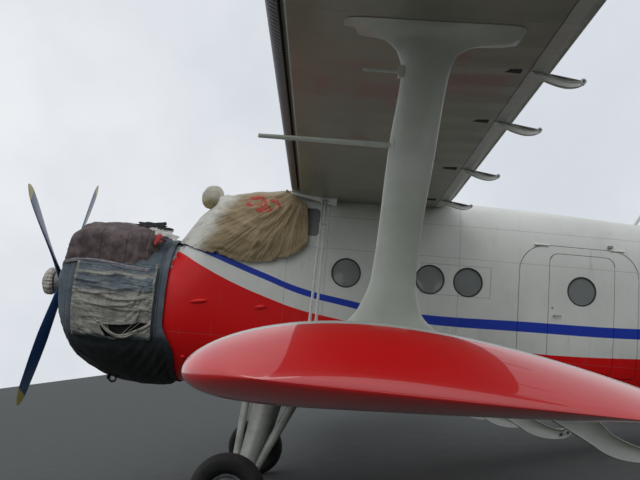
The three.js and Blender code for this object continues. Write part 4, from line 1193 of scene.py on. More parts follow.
def wing_finish(name, red_from=None):
    material, shader = new_finish(name, "wing_paint", Coat_Weight=0.2, Coat_Roughness=0.15)
    place = body_place(material)
    station, port, height = body_parts(place)
    *_, upward = parts_of(read(material, "ShaderNodeNewGeometry", "Normal"))
    broad = mottle(place, 1.6, 5.0, 0.6)
    top = blend(ramp(broad, 0.35, 0.7), FABRIC, WHITE_DULL)
    # The underside colour, which carries the painted shade and the painted olive reflection.
    under = blend(ramp(broad, 0.3, 0.75), SHADED_FABRIC_UNDER, (0.31, 0.315, 0.24, 1))
    patches = ramp(mottle(place, 1.7, 2.0, 0.4), 0.58, 0.72)
    away = abs(port)
    if red_from is None:
        for middle, half, out, wide in OLD_PATCHES:
            spot = near(station, middle, half, 0.1) * near(away, out, wide, 0.06)
            spot = spot * ramp(broad, 0.3, 0.5)
            patches = maths("MAXIMUM", patches, spot)
        lip = UPPER_WING["leading_station"] + UPPER_WING["fixed"] - COVE_DEEP
        # Painted highlight on the rolled edge before the cove, and just ahead of it a dark line that
        # is a painted shadow.
        rolled = ramp(station, lip - 0.1, lip - 0.08)
        under = blend(rolled, under, ROLLED_EDGE_HIGHLIGHT)
        under = blend(near(station, lip - 0.09, 0.004, 0.004), under, DIRT_AND_SHADE)
    under = blend(patches * 0.45, under, OLD_RED)
    # Faces that point downwards take the underside colour, so the wing is painted darker below as
    # painted shade.
    colour = blend(ramp(upward, -0.35, 0.1), under, top)
    ribs = abs(maths("FRACT", away / RIB_PITCH) - 0.5)
    tape = ramp(ribs, 0.46, 0.48)
    colour = blend(tape * 0.16, colour, DIRT_AND_SHADE)
    if red_from is not None:
        tip = ramp(away, red_from, red_from + 0.004)
        red_tone = blend(ramp(broad, 0.5, 0.85), RED, RED_DULL)
        colour = blend(tip, colour, red_tone)
        link(tip * 0.8 + 0.2, shader, "Coat Weight")
        link(tip * -0.12 + 0.15, shader, "Coat Roughness")
        shader.inputs["Coat IOR"].default_value = 1.66
    streaks = ramp(mottle(place, 7.0, 6.0, 0.7), 0.6, 0.85)
    colour = blend(streaks * 0.2, colour, DIRT_AND_SHADE)
    link(colour, shader, "Base Color")
    link(broad * 0.25 + 0.25, shader, "Roughness")
    weave = mottle(place, 300.0, 1.0)
    relief = tape * 0.6 + weave * 0.12
    bump(shader, relief, 0.5, 0.0015)
    return material


# Painted shade: the near-black block where each hinge arm goes up into its slot in the wing.
arm_slot_shade = plain_finish(
    "arm_slot_shade", "wing_paint", (0.012, 0.012, 0.012, 1), (0.02, 0.02, 0.018, 1), 30.0, 0.6
)
wing_paint = wing_finish("wing_paint")
lower_wing_paint = wing_finish("lower_wing_paint", red_from=7.02)
bolt_metal = plain_finish(
    "bolt_metal", "steel", (0.07, 0.07, 0.07, 1), (0.03, 0.028, 0.025, 1), 30.0, 0.4, Metallic=0.5
)

# %% [markdown]
# The upper wing's nose is cut back behind its slats, and its tip is a whole section again. Both
# wings get their arms here, so that each is one piece.

# %% Wings
SLAT_END = 8.42


def make_wing(wing, arms, curves, bolts, slatted):
    outline = wing_outline(wing, slatted=slatted)
    made = closed_up(lofted(span_rings(wing, outline, span_ports(wing))))
    join_in(made, closed_up(lofted(tip_rings(wing, wing_outline(wing, whole=True)))))
    for port in arms:
        join_in(made, hinge_arm(wing, curves, bolts, port))
    moved(made, stand_wing(wing))
    return made


on_both_sides(
    "upper_wing_skin",
    lambda: make_wing(UPPER_WING, UPPER_ARMS, UPPER_ARM_CURVES, UPPER_BOLTS, True),
    [wing_paint, bolt_metal, arm_slot_shade], "upper_wing"
)
on_both_sides(
    "lower_wing_skin",
    lambda: make_wing(LOWER_WING, LOWER_ARMS, LOWER_ARM_CURVES, LOWER_BOLTS, False),
    [lower_wing_paint, bolt_metal, arm_slot_shade], "lower_wing"
)

centre_ports = np.linspace(-0.8696, 0.8696, 41)
centre = closed_up(lofted(span_rings(UPPER_WING, wing_outline(UPPER_WING), centre_ports)))
CENTRE_PLACE = (-2.926, 0, 1.351)
moved(centre, Matrix.Translation(CENTRE_PLACE) @ Matrix.Rotation(-UPPER_WING["incidence"], 4, "Y"))
finish_piece("centre_section_skin", centre, wing_paint, replaces=["wing_centre_section"])

# %% [markdown]
# A slat is the wing's own nose, free to slide forward on tongues that run in slots. Its dark face
# carries fine ribs across it.

# %% Slats
slat_paint, slat_shader = new_finish("slat_paint", "dark_paint")
slat_place = body_place(slat_paint)
_, slat_port, _ = body_parts(slat_place)
slat_tone = mottle(slat_place, 6.0, 5.0)
slat_colour = blend(slat_tone, (0.05, 0.052, 0.05, 1), (0.1, 0.1, 0.095, 1))
*_, slat_upward = parts_of(read(slat_paint, "ShaderNodeNewGeometry", "Normal"))
painted(slat_shader, slat_colour, (ramp(slat_upward, 0.2, 0.5), WHITE_DULL))
link(slat_tone * 0.2 + 0.35, slat_shader, "Roughness")
slat_ribs = maths("SINE", slat_port * 120.0)
bump(slat_shader, slat_ribs, 0.7, 0.002)

SLAT_START = 0.9
SLAT_TRACKS = [1.5, 3.3, 5.1, 6.9, 8.1]
TRACK = {"width": 0.044, "deep": 0.19, "low": 0.022, "high": 0.05}


def make_slat():
    inner = evenly(SLAT_INNER, 12)
    top = evenly(skin_side(UPPER_WING, 1, 0.0, 0.14, 24), 22)
    lip = (0.038, airfoil(UPPER_WING, 0.038, -1))
    bottom = evenly([lip, *reversed(skin_side(UPPER_WING, -1, 0.0, 0.03, 8))], 9)
    outline = bottom[:-1] + top + inner
    ports = np.linspace(SLAT_START, SLAT_END, 60)
    flat = {**UPPER_WING, "sag": 0.0}
    made = closed_up(lofted(span_rings(flat, outline, ports)))
    front = 0.036 * UPPER_WING["chord"]
    for port in SLAT_TRACKS:
        half = TRACK["width"] / 2
        slab(
            made, front, front + TRACK["deep"], port - half, port + half, TRACK["low"],
            TRACK["high"]
        )
    moved(made, stand_wing(UPPER_WING))
    return made


on_both_sides("slat_skin", make_slat, slat_paint, "slat", "slat_bar_{side}")

# %% [markdown]
# The strut between the wings is a broad streamlined column that flares into both of them. Its
# rings are fine and its table is read on a smooth curve, so that the flares run in without a kink.
# The left one carries the pitot boom.

# %% Interplane struts
STRUT_PORT = 5.4
# height, front station, rear station, thickness
STRUT_SECTIONS = [
    (-0.72, 3.33, 4.46, 0.09), (-0.56, 3.44, 4.3, 0.11), (-0.42, 3.53, 4.14, 0.11),
    (-0.3, 3.63, 4.01, 0.105), (-0.1, 3.7, 3.965, 0.1), (0.7, 3.752, 4.036, 0.096),
    (1.18, 3.795, 4.092, 0.1), (1.29, 3.765, 4.13, 0.11), (1.36, 3.69, 4.23, 0.13),
    (1.41, 3.56, 4.5, 0.2), (1.45, 3.44, 4.53, 0.32), (1.6, 3.42, 4.53, 0.34)
]
BOOM_SEAT = 3.84
PITOT = {"height": 0.702, "length": 0.88, "radius": 0.019, "tip": 0.013}
SMALL_BOOM = {"height": 1.168, "length": 0.28, "radius": 0.011}


def wing_height(wing, station, port, side):
    """The height of a wing's upper or lower skin over a station and port."""
    chord = wing["chord"]
    share = clamped((station - wing["leading_station"]) / chord)
    point = stand_wing(wing) @ Vector((-share * chord, port, airfoil(wing, share, side) * chord))
    return point.z


def make_strut(booms):
    low, high = STRUT_SECTIONS[0][0], STRUT_SECTIONS[-1][0]
    rings = []
    for height in np.linspace(low, high, 150):
        _, front, rear, thickness = rounded(STRUT_SECTIONS, height)
        middle, half = (front + rear) / 2, (rear - front) / 2
        square = 1 / (1 + 2.5 * clamped((height - 1.38) / 0.06))
        ring = []
        for angle in around(56):
            c, s = cos(angle), sin(angle)
            c, s = copysign(abs(c) ** square, c), copysign(abs(s) ** square, s)
            station = middle - half * c
            z = float(height)
            floor_height = wing_height(LOWER_WING, station, STRUT_PORT, 1) - 0.004
            roof_height = wing_height(UPPER_WING, station, STRUT_PORT, -1) + 0.004
            z = min(max(z, floor_height), roof_height)
            ring.append((-station, STRUT_PORT + thickness / 2 * s, z))
        rings.append(ring)
    made = closed_up(lofted(rings), merge=0.0001)
    if booms:
        for boom in (PITOT, SMALL_BOOM):
            height = boom["height"]
            rod(
                made, (BOOM_SEAT, STRUT_PORT, height),
                (BOOM_SEAT - boom["length"], STRUT_PORT, height), boom["radius"], boom.get("tip")
            )
            slab(
                made, BOOM_SEAT - 0.062, BOOM_SEAT - 0.03, STRUT_PORT - 0.03, STRUT_PORT + 0.03,
                height - 0.035, height + 0.035, 0.008
            )
    return made


for side, mirrored in SIDES:
    strut = make_strut(booms=not mirrored)
    nodes = [f"interplane_strut_{side}"]
    finish_piece(f"strut_{side}", strut, strut_paint, replaces=nodes, mirrored=mirrored)

# %% [markdown]
# A pair of flat streamlined tapes braces the lower wing from the fuselage on each side. Small
# wooden spacers keep the two apart, and each end is a fork.

# %% Landing wires
wire_paint = plain_finish(
    "wire_paint", "white_paint", (0.52, 0.52, 0.49, 1), (0.4, 0.4, 0.38, 1), 20.0, 0.35
)
WIRE_TOP, WIRE_BOTTOM = Vector((-3.352, 0.8, 1.215)), Vector((-3.372, 5.08, -0.47))
WIRE_APART = 0.021
WIRE_SIZE = (0.02, 0.009)


def oval_bar(made, start, end, wide, thick, sides=16):
    """A streamlined bar between two body points, wide along the airframe."""
    along = end - start
    lean = Vector((0, 1, 0)).rotation_difference(along).to_matrix().to_4x4()
    shape = Matrix.Diagonal((wide / 2, along.length / 2, thick / 2, 1))
    bmesh.ops.create_cone(
        made, cap_ends=True, segments=sides, radius1=1, radius2=1, depth=2,
        matrix=Matrix.Translation(
            (start + end) / 2
        ) @ lean @ shape @ Matrix.Rotation(pi / 2, 4, "X")
    )


def make_wires():
    made = bmesh.new()
    for way in (-1, 1):
        shift = Vector((way * WIRE_APART, 0, 0))
        oval_bar(made, WIRE_TOP + shift, WIRE_BOTTOM + shift, *WIRE_SIZE)
    across = Vector((WIRE_APART + 0.02, 0, 0))
    for share in (0.3, 0.52):
        middle = WIRE_TOP.lerp(WIRE_BOTTOM, share)
        rod(made, (-middle.x - across.x, *middle.yz), (-middle.x + across.x, *middle.yz), 0.009)
    for share in (0.012, 0.985):
        middle = WIRE_TOP.lerp(WIRE_BOTTOM, share)
        ahead = (WIRE_BOTTOM - WIRE_TOP).normalized() * 0.045
        oval_bar(made, middle - ahead, middle + ahead, 2 * WIRE_APART + 0.03, 0.022)
    return made


on_both_sides("wires", make_wires, wire_paint, "landing_wires")

# %% [markdown]
# Each main leg is three struts that meet at the axle: a thin one ahead, a broad shock strut in
# the middle and a brace behind. They run up into the belly.

# %% Main gear legs
GEAR_STRUTS = [
    ((2.6, 1.5, -2.09), (2.619, 0.5, -0.84), 0.04, 0.045),
    ((2.69, 1.48, -2.08), (2.963, 0.472, -0.694), 0.088, 0.175),
    ((2.76, 1.47, -2.08), (3.384, 0.469, -0.806), 0.038, 0.07)
]
KNUCKLE = {"front": 2.5, "rear": 2.8, "inner": 1.41, "outer": 1.565, "low": -2.19, "high": -2.01}
MAIN_WHEEL = {
    "station": 2.582, "height": -2.128, "port": 1.72, "radius": 0.4, "width": 0.26, "rim": 0.2
}


def make_leg():
    made = bmesh.new()
    for start, end, radius, end_radius in GEAR_STRUTS:
        rod(made, start, end, radius, end_radius, sides=40)
    slab(made, corner=0.05, steps=6, **KNUCKLE)
    wheel = MAIN_WHEEL
    rod(
        made, (wheel["station"], KNUCKLE["inner"] + 0.02, wheel["height"]),
        (wheel["station"], wheel["port"] + wheel["width"] * 0.36, wheel["height"]), 0.034
    )
    return made


on_both_sides("gear_leg", make_leg, shaded_leg_paint, "main_gear_leg")

# %% [markdown]
# A tyre and its hub are profiles spun about the axle. The tyre has shallow grooves round its
# tread; the hub is a cast drum with a ring of bolts.

# %% Wheels
tyre_rubber = plain_finish(
    "tyre_rubber", "tyre", (0.006, 0.006, 0.006, 1), (0.024, 0.023, 0.021, 1), 5.0, 0.7, 0.001
)
cast_metal = plain_finish(
    "cast_metal", "steel", (0.3, 0.31, 0.32, 1), (0.16, 0.165, 0.17, 1), 9.0, 0.35, 0.001,
    Metallic=0.6
)


def spun(profile, place, steps=96):
    """A profile of radius and distance along the axle, spun about it."""
    made = bmesh.new()
    made.loops.layers.uv.new("UVMap")
    verts = [made.verts.new((0, along, radius)) for radius, along in profile]
    edges = [made.edges.new(pair) for pair in zip(verts, verts[1:])]
    bmesh.ops.spin(
        made, geom=verts + edges, cent=(0, 0, 0), axis=(0, 1, 0), angle=2 * pi, steps=steps,
        use_merge=True
    )
    moved(made, place)
    welded(made)
    return made


def tyre_profile(wheel, points=72, grooves=5):
    half, side = wheel["width"] / 2, (wheel["radius"] - wheel["rim"]) / 2
    profile = []
    for k in range(points + 1):
        angle = 2 * pi * k / points - pi
        c, s = cos(angle), sin(angle)
        radius = wheel["radius"] - side + copysign(side * abs(c) ** 0.8, c)
        along = copysign(half * abs(s) ** 0.8, s)
        if c > 0.55:
            near_groove = cos(pi * grooves * along / half)
            radius -= 0.007 * max(0.0, near_groove - 0.6) / 0.4
        profile.append((radius, along))
    return profile


def hub_profile(wheel, bore):
    half, rim = wheel["width"] / 2, wheel["rim"] - 0.001
    shares = [
        (None, -0.6), (0.3, -0.62), (0.42, -0.5), (0.8, -0.42), (0.88, -0.5), (1.0, -0.52),
        (1.0, 0.52), (0.88, 0.5), (0.8, 0.32), (0.5, 0.34), (0.42, 0.5), (0.3, 0.6), (None, 0.6),
        (None, -0.6)
    ]
    return [(bore if r is None else r * rim, along * half) for r, along in shares]


def wheel_place(wheel, mirrored=False):
    port = wheel["port"] * (-1 if mirrored else 1)
    return Matrix.Translation((-wheel["station"], port, wheel["height"]))


def make_wheel(names, wheel, bore, body, nodes, bolts, mirrored=False, turn=None):
    place = wheel_place(wheel, mirrored)
    if turn is not None:
        place = place @ turn
    tyre = spun(tyre_profile(wheel), place)
    finish_piece(names[0], tyre, tyre_rubber, body=body, replaces=[nodes[0]], sharp=50)
    hub = spun(hub_profile(wheel, bore), Matrix.Identity(4), 72)
    for angle in around(bolts):
        spot = Vector((cos(angle), 0, sin(angle))) * wheel["rim"] * 0.66
        bmesh.ops.create_cone(
            hub, cap_ends=True, segments=6, radius1=wheel["rim"] * 0.06,
            radius2=wheel["rim"] * 0.06, depth=wheel["width"] * 0.42,
            matrix=Matrix.Translation(spot) @ Matrix.Rotation(pi / 2, 4, "X")
        )
    moved(hub, place)
    finish_piece(names[1], hub, cast_metal, body=body, replaces=[nodes[1]])


for side, mirrored in SIDES:
    make_wheel(
        (f"tyre_{side}", f"hub_{side}"), MAIN_WHEEL, 0.0345, f"main_wheel_{side}",
        (f"main_tyre_{side}", f"main_hub_{side}"), 8, mirrored
    )

TAIL_WHEEL = {
    "station": 10.77, "height": -0.565, "port": 0.0, "radius": 0.235, "width": 0.195, "rim": 0.112
}
UPRIGHT = Matrix.Rotation(PARKED_ANGLE, 4, "Y")
make_wheel(
    ("tail_wheel_tyre", "tail_wheel_hub"), TAIL_WHEEL, 0.0155, "tail_wheel",
    ("tail_tyre", "tail_hub"), 5, turn=UPRIGHT
)

# %% [markdown]
# The tail wheel trails in a fork that swivels under a leg. Both are upright when the aeroplane is
# parked, so they are made upright and then put into the leaning airframe.

# %% Tail fork and leg
CROWN = TAIL_WHEEL["radius"] + 0.042
TRAIL = 0.15
FORK_HALF = TAIL_WHEEL["width"] / 2 + 0.014
FORK_ARM = 0.016
tail_place = wheel_place(TAIL_WHEEL) @ UPRIGHT
fork_outline = [
    (0.028, -0.026), (0.0, -0.034), (-0.026, -0.026), (-0.04, 0.12), (-(TRAIL + 0.05), CROWN),
    (-(TRAIL + 0.05), CROWN + 0.03), (0.01, CROWN + 0.03), (0.034, CROWN - 0.06)
]
fork = bmesh.new()
for inner in (FORK_HALF, -FORK_HALF - FORK_ARM):
    join_in(fork, plate([(s, z) for s, z in fork_outline], inner, inner + FORK_ARM, 0.003))
slab(fork, -(TRAIL + 0.05), 0.01, -FORK_HALF - FORK_ARM, FORK_HALF + FORK_ARM, CROWN, CROWN + 0.03)
rod(fork, (0, -FORK_HALF - FORK_ARM - 0.012, 0), (0, FORK_HALF + FORK_ARM + 0.012, 0), 0.015)
rod(fork, (-TRAIL, 0, CROWN + 0.01), (-TRAIL, 0, CROWN + 0.066), 0.036, sides=40)
moved(fork, tail_place)
finish_piece("fork", fork, cast_metal, body="tail_caster", replaces=["tail_fork"])

leg = bmesh.new()
rod(leg, (-TRAIL, 0, CROWN + 0.036), (-TRAIL, 0, CROWN + 0.42), 0.062, 0.09, sides=40)
socket = bmesh.new()
rod(socket, (-TRAIL, 0, CROWN), (-TRAIL, 0, CROWN + 0.0664), 0.0377, sides=40)
leg = carved(leg, socket)
moved(leg, tail_place)
finish_piece("tail_post", leg, white_paint, replaces=["tail_leg"])

# %% [markdown]
# The four blades are twisted lofts in dark blue with yellow tips, chipped here and there. The hub
# behind the bag is cast metal.

# %% Propeller
# radius from the axis, chord, thickness, pitch in degrees
BLADE_SECTIONS = [
    (0.11, 0.1, 0.096, 38), (0.33, 0.128, 0.07, 27), (0.62, 0.174, 0.044, 21),
    (0.92, 0.21, 0.032, 17), (1.22, 0.218, 0.024, 12), (1.5, 0.206, 0.017, 8),
    (1.62, 0.192, 0.013, 7), (1.716, 0.14, 0.01, 6), (1.775, 0.074, 0.008, 6),
    (1.8, 0.026, 0.006, 6)
]
BLADES, FIRST_BLADE = 4, 33.6
HUB_RADIUS = 0.144
TIP_START = 1.63

blade_paint, blade_shader = new_finish(
    "blade_paint", "blade_paint", Coat_Weight=0.3, Coat_Roughness=0.2
)
blade_place = body_place(blade_paint)
_, blade_port, blade_height = body_parts(blade_place)
from_axis = maths("SQRT", blade_port * blade_port + blade_height * blade_height)
blade_tone = mottle(blade_place, 5.0, 5.0, 0.6)
blade_colour = blend(blade_tone, (0.01, 0.04, 0.13, 1), (0.02, 0.06, 0.17, 1))
chips = ramp(mottle(blade_place, 30.0, 6.0, 0.7), 0.66, 0.72)
painted(
    blade_shader, blade_colour, (chips * 0.4, (0.2, 0.21, 0.22, 1)),
    (ramp(from_axis, TIP_START, TIP_START + 0.004), (0.4, 0.33, 0.05, 1))
)
link(blade_tone * 0.25 + 0.25, blade_shader, "Roughness")


def make_blade(turn):
    rings = []
    for radius in np.concatenate([np.linspace(0.15, 1.6, 50), np.linspace(1.62, 1.8, 16)]):
        _, chord, thickness, pitch = rounded(BLADE_SECTIONS, radius)
        angle = radians(pitch)
        ring = []
        for angle_round in around(32):
            a = chord / 2 * cos(angle_round)
            b = thickness / 2 * sin(angle_round) * (0.75 - 0.25 * cos(angle_round))
            ring.append(
                (a * sin(angle) + b * cos(angle), b * sin(angle) - a * cos(angle), float(radius))
            )
        rings.append(ring)
    made = closed_up(lofted(rings), merge=1e-6)
    moved(made, Matrix.Rotation(turn, 4, "X"))
    return made


for k in range(BLADES):
    turn = radians(FIRST_BLADE + k * 360 / BLADES - 90)
    finish_piece(
        f"blade_{k + 1}", make_blade(turn), blade_paint, body="propeller",
        replaces=[f"propeller_blade_{k + 1}"], sharp=60
    )

AXLE_FORWARD = Matrix.Rotation(-pi / 2, 4, "Z")
hub_outline = [
    (0.0005, -0.11), (0.115, -0.11), (0.12, -0.107), (HUB_RADIUS - 0.004, -0.084),
    (HUB_RADIUS, -0.078), (HUB_RADIUS, 0.064), (HUB_RADIUS - 0.006, 0.068), (0.098, 0.092),
    (0.092, 0.1), (0.092, 0.186), (0.06, 0.214), (0.0005, 0.218)
]
hub = closed_up(spun(hub_outline, AXLE_FORWARD, 64))
finish_piece("propeller_boss", hub, cast_metal, body="propeller", replaces=["propeller_hub"])

# %% [markdown]
# Under their covers the engine and its cowling hardly show, but a look from below finds them.

# %% Engine under its cover
engine_metal = plain_finish(
    "engine_metal", "engine_iron", (0.035, 0.035, 0.035, 1), (0.09, 0.088, 0.082, 1), 12.0, 0.5,
    0.001, Metallic=0.4
)
smooth_node("engine_block", engine_metal)
smooth_node("engine_cowling", cast_metal)
floor_boards = plain_finish(
    "floor_boards", "floor", (0.12, 0.12, 0.115, 1), (0.07, 0.07, 0.068, 1), 8.0, 0.6, 0.001
)
smooth_node("cabin_floor", floor_boards)
print("engine, cowling and floor have their finishes")

# %% [markdown]
# Fin, rudder, tailplane and elevators are fabric over ribs. Each is a loft of sections whose
# leading or trailing edge comes from a table read on a smooth curve, so the tips come out round.

# %% Tail surfaces
FIN_HINGE, RUDDER_NOSE = 11.56, 0.056
FIN_SECTIONS = [(0.76, 9.35), (1.25, 10.12), (2.1, 10.48), (2.9, 10.8), (3.3, 11.01), (3.48, 11.22)]
RUDDER_SECTIONS = [
    (0.11, 11.9), (0.42, 12.23), (1.5, 12.38), (2.5, 12.29), (3.1, 12.12), (3.4, 11.93),
    (3.54, 11.72)
]
TAILPLANE_HEIGHT, ELEVATOR_HINGE, ELEVATOR_NOSE = 0.76, 11.24, 0.046
TAILPLANE_HALF, TAILPLANE_TIP_HALF = 0.047, 0.018
TAILPLANE_SECTIONS = [(0.12, 10.26), (2.9, 10.42), (3.38, 10.56), (3.56, 10.82)]
ELEVATOR_SECTIONS = [(0.5, 11.9), (2.9, 11.9), (3.38, 11.84), (3.59, 11.64)]
TAIL_RIB = 0.3


def fixed_section(front, rear, half, sag):
    shares = [0.0, 0.004, 0.015, 0.03, 0.07, 0.14, 0.25, 0.4, 0.55, 0.7, 0.85, 1.0]
    thick = [0.0, 0.2, 0.36, 0.5, 0.7, 0.85, 0.95, 1.0, 1.0, 1.0, 0.98, 0.94]
    upper = [
        (front + s * (rear - front), half * t - (sag if 0.1 < s < 0.9 else 0.0))
        for s, t in zip(shares, thick)
    ]
    return upper + [(aft, -up) for aft, up in reversed(upper[1:])]


def moving_section(hinge, rear, nose, sag):
    round_nose = [
        (hinge - nose * cos(radians(d)), nose * sin(radians(d))) for d in range(-90, 91, 15)
    ]
    aft = []
    for t in (0.15, 0.3, 0.5, 0.7, 0.9, 1.0):
        up = nose + (0.004 - nose) * t
        aft.append((hinge + (rear - hinge) * t, up - (sag if t < 0.8 else 0.0)))
    return round_nose + aft + [(s, -up) for s, up in reversed(aft)]


def surface(table, low, high, section, place):
    """A tail surface between two places along its span."""
    steps = int((high - low) / (TAIL_RIB / 6))
    rings = []
    for spot in np.linspace(low, high, steps + 1):
        edge = rounded(table, spot)[1]
        sag = 0.003 * (0.5 - 0.5 * cos(2 * pi * spot / TAIL_RIB))
        left = (high - spot) / (high - low)
        rings.append([place(aft, up, float(spot)) for aft, up in section(edge, sag, spot)])
    return closed_up(lofted(rings), merge=1e-5)


def round_off(spot, high, reach=0.2):
    """Thins a surface near its tip."""
    near_tip = clamped((spot - (high - reach)) / reach)
    return max((1 - near_tip ** 2) ** 0.5, 0.25)


fin_top, rudder_top = FIN_SECTIONS[-1][0], RUDDER_SECTIONS[-1][0]
fin_back = FIN_HINGE - RUDDER_NOSE - MOVE_GAP
fin = surface(
    FIN_SECTIONS, FIN_SECTIONS[0][0], fin_top, lambda edge, sag,
    z: fixed_section(edge, fin_back, RUDDER_NOSE * round_off(z, fin_top, 0.25), sag), lambda aft,
    up, z: (-aft, up, z)
)
for z in (1.5, 2.9):
    slab(fin, fin_back - 0.06, fin_back + 0.0056, -0.016, 0.016, z - 0.02, z + 0.02)
finish_piece("fin_skin", fin, white_paint, replaces=["fin"])

rudder = surface(
    RUDDER_SECTIONS, RUDDER_SECTIONS[0][0], rudder_top, lambda edge, sag,
    z: moving_section(FIN_HINGE, edge, RUDDER_NOSE * round_off(z, rudder_top, 0.12), sag),
    lambda aft, up, z: (-aft, up, z)
)
finish_piece("rudder_skin", rudder, wing_paint, body="rudder_panel", replaces=["rudder"])


def make_tailplane():
    high = TAILPLANE_SECTIONS[-1][0]
    back = ELEVATOR_HINGE - ELEVATOR_NOSE - MOVE_GAP

    def half(port):
        share = clamped((port - 2.9) / (high - 2.9))
        return TAILPLANE_HALF + (TAILPLANE_TIP_HALF - TAILPLANE_HALF) * share ** 2

    made = surface(
        TAILPLANE_SECTIONS, TAILPLANE_SECTIONS[0][0], high, lambda edge, sag,
        y: fixed_section(edge, back, half(y), sag), lambda aft, up,
        y: (-aft, y, TAILPLANE_HEIGHT + up)
    )
    for y in (0.76, 2.0, 3.2):
        low, top = TAILPLANE_HEIGHT - 0.014, TAILPLANE_HEIGHT + 0.014
        slab(made, back - 0.06, back + 0.0056, y - 0.02, y + 0.02, low, top)
    return made


def make_elevator():
    high = ELEVATOR_SECTIONS[-1][0]
    return surface(
        ELEVATOR_SECTIONS, ELEVATOR_SECTIONS[0][0], high, lambda edge, sag,
        y: moving_section(ELEVATOR_HINGE, edge, ELEVATOR_NOSE * round_off(y, high, 0.1), sag),
        lambda aft, up, y: (-aft, y, TAILPLANE_HEIGHT + up)
    )


on_both_sides("tailplane_skin", make_tailplane, wing_paint, "tailplane")
on_both_sides("elevator_skin", make_elevator, wing_paint, "elevator", "elevator_pair")
smooth_node("elevator_tube", cast_metal)

TAIL_STRUT = {"foot": (10.56, 0.24, -0.06), "head": (10.72, 1.65, 0.715), "width": 0.052}


def make_tail_strut():
    made = bmesh.new()
    foot, head = (Vector((-p[0], p[1], p[2])) for p in (TAIL_STRUT["foot"], TAIL_STRUT["head"]))
    oval_bar(made, foot, head, TAIL_STRUT["width"], 0.03, sides=24)
    return made


on_both_sides("tail_brace", make_tail_strut, white_paint, "tail_strut")

# %% [markdown]
# The aerial mast behind the cabin is a thin leaning blade.

# %% Aerial mast
mast_rings = []
for (s, z), scale in zip(
    [(7.36, 1.23), (7.42, 1.29), (7.5, 1.42), (7.66, 1.69)], (1.1, 1.05, 0.95, 0.7)
):
    mast_rings.append(
        [
            (-s + scale * 0.026 * cos(2 * pi * k / 24), scale * 0.009 * sin(2 * pi * k / 24), z)
            for k in range(24)
        ]
    )
finish_piece("mast", closed_up(lofted(mast_rings)), white_paint, replaces=["aerial_mast"])

# %% [markdown]
# The covers are cloth. Each is cut a little larger than what it goes over, tied where the real one
# is tied, and falls onto solids in a short cloth simulation that leaves its folds. Gravity is
# turned into body axes for it, because the aeroplane stands nose up.

# %% Cloth helpers
GRAVITY = 9.81
CLOTH_GRAVITY = TO_ROW.to_3x3().inverted() @ Vector((0, 0, -GRAVITY))


def fall(made, solids, tie, frames, slack, bend=0.4, stiff=12.0, gap=0.008):
    """Lets cloth fall onto solids from its tied points, and gives it back as it lies."""
    scene = bpy.context.scene
    cloth = scratch("falling", made)
    group = cloth.vertex_groups.new(name="tied")
    for vert in cloth.data.vertices:
        weight = tie(-vert.co.x, vert.co.y, vert.co.z)
        if weight > 0:
            group.add([vert.index], weight, "REPLACE")
    blocks = [scratch("under", solid) for solid in solids]
    for block in blocks:
        block.modifiers.new("firm", "COLLISION")
        block.collision.thickness_outer = gap
        block.collision.cloth_friction = 25
    change = cloth.modifiers.new("cloth", "CLOTH")
    settings = change.settings
    settings.quality = 5
    settings.mass = 0.3
    settings.air_damping = 4
    settings.tension_stiffness = stiff
    settings.compression_stiffness = stiff / 2
    settings.shear_stiffness = stiff / 3
    settings.bending_stiffness = bend
    settings.vertex_group_mass = "tied"
    settings.shrink_min = -slack
    change.collision_settings.distance_min = gap
    change.collision_settings.collision_quality = 2
    change.point_cache.frame_end = frames
    scene.gravity = CLOTH_GRAVITY
    for frame in range(1, frames + 1):
        scene.frame_set(frame)
    result = bmesh.new()
    result.from_object(cloth, bpy.context.evaluated_depsgraph_get())
    for thing in (cloth, *blocks):
        data = thing.data
        bpy.data.objects.remove(thing)
        bpy.data.meshes.remove(data)
    scene.frame_set(1)
    result.normal_update()
    return result


def crease(made, depth_at):
    """Moves each point along its normal by what a function of its place says."""
    made.normal_update()
    moves = [(v, v.normal * depth_at(-v.co.x, v.co.y, v.co.z)) for v in made.verts]
    for vert, move in moves:
        vert.co += move


def smoothed(made, turns, factor=0.5):
    for _ in range(turns):
        bmesh.ops.smooth_vert(
            made, verts=made.verts, factor=factor, use_axis_x=True, use_axis_y=True, use_axis_z=True
        )


def ridges(s, y, z, size, seed):
    """Creases at every scale: a folded noise that is 0 to about 1."""
    value = noise.noise(Vector((s * size + seed, y * size, z * size)))
    return 1 - min(1.0, abs(value) * 3.2)


def cloth_body(table, front, rear, step, count, grow=0.0, ends=0):
    """A tube of cloth round a table's sections, drawn together at its ends if asked."""
    places = stations_of(table, front, rear, step)
    rings = [body_ring(between(table, s), grow, count) for s in places]

    def drawn(ring, share):
        middle = [sum(p[i] for p in ring) / len(ring) for i in range(3)]
        return [tuple(m + (c - m) * share for c, m in zip(p, middle)) for p in ring]

    shares = [1 - (k + 1) / ends for k in range(ends)]
    head = [drawn(rings[0], share) for share in reversed(shares)]
    tail = [drawn(rings[-1], share) for share in shares]
    made = lofted([*head, *rings, *tail])
    welded(made)
    return made


def hem_tube(path, radius, sides=8):
    """A rolled edge along a path of body points."""
    rings = []
    for k, spot in enumerate(path):
        ahead = Vector(path[min(k + 1, len(path) - 1)]) - Vector(path[max(k - 1, 0)])
        turn = ahead.to_track_quat("Z", "Y")
        rings.append(
            [
                tuple(Vector(spot) + turn @ Vector((cos(a) * radius, sin(a) * radius, 0)))
                for a in around(sides)
            ]
        )
    return closed_up(lofted(rings))


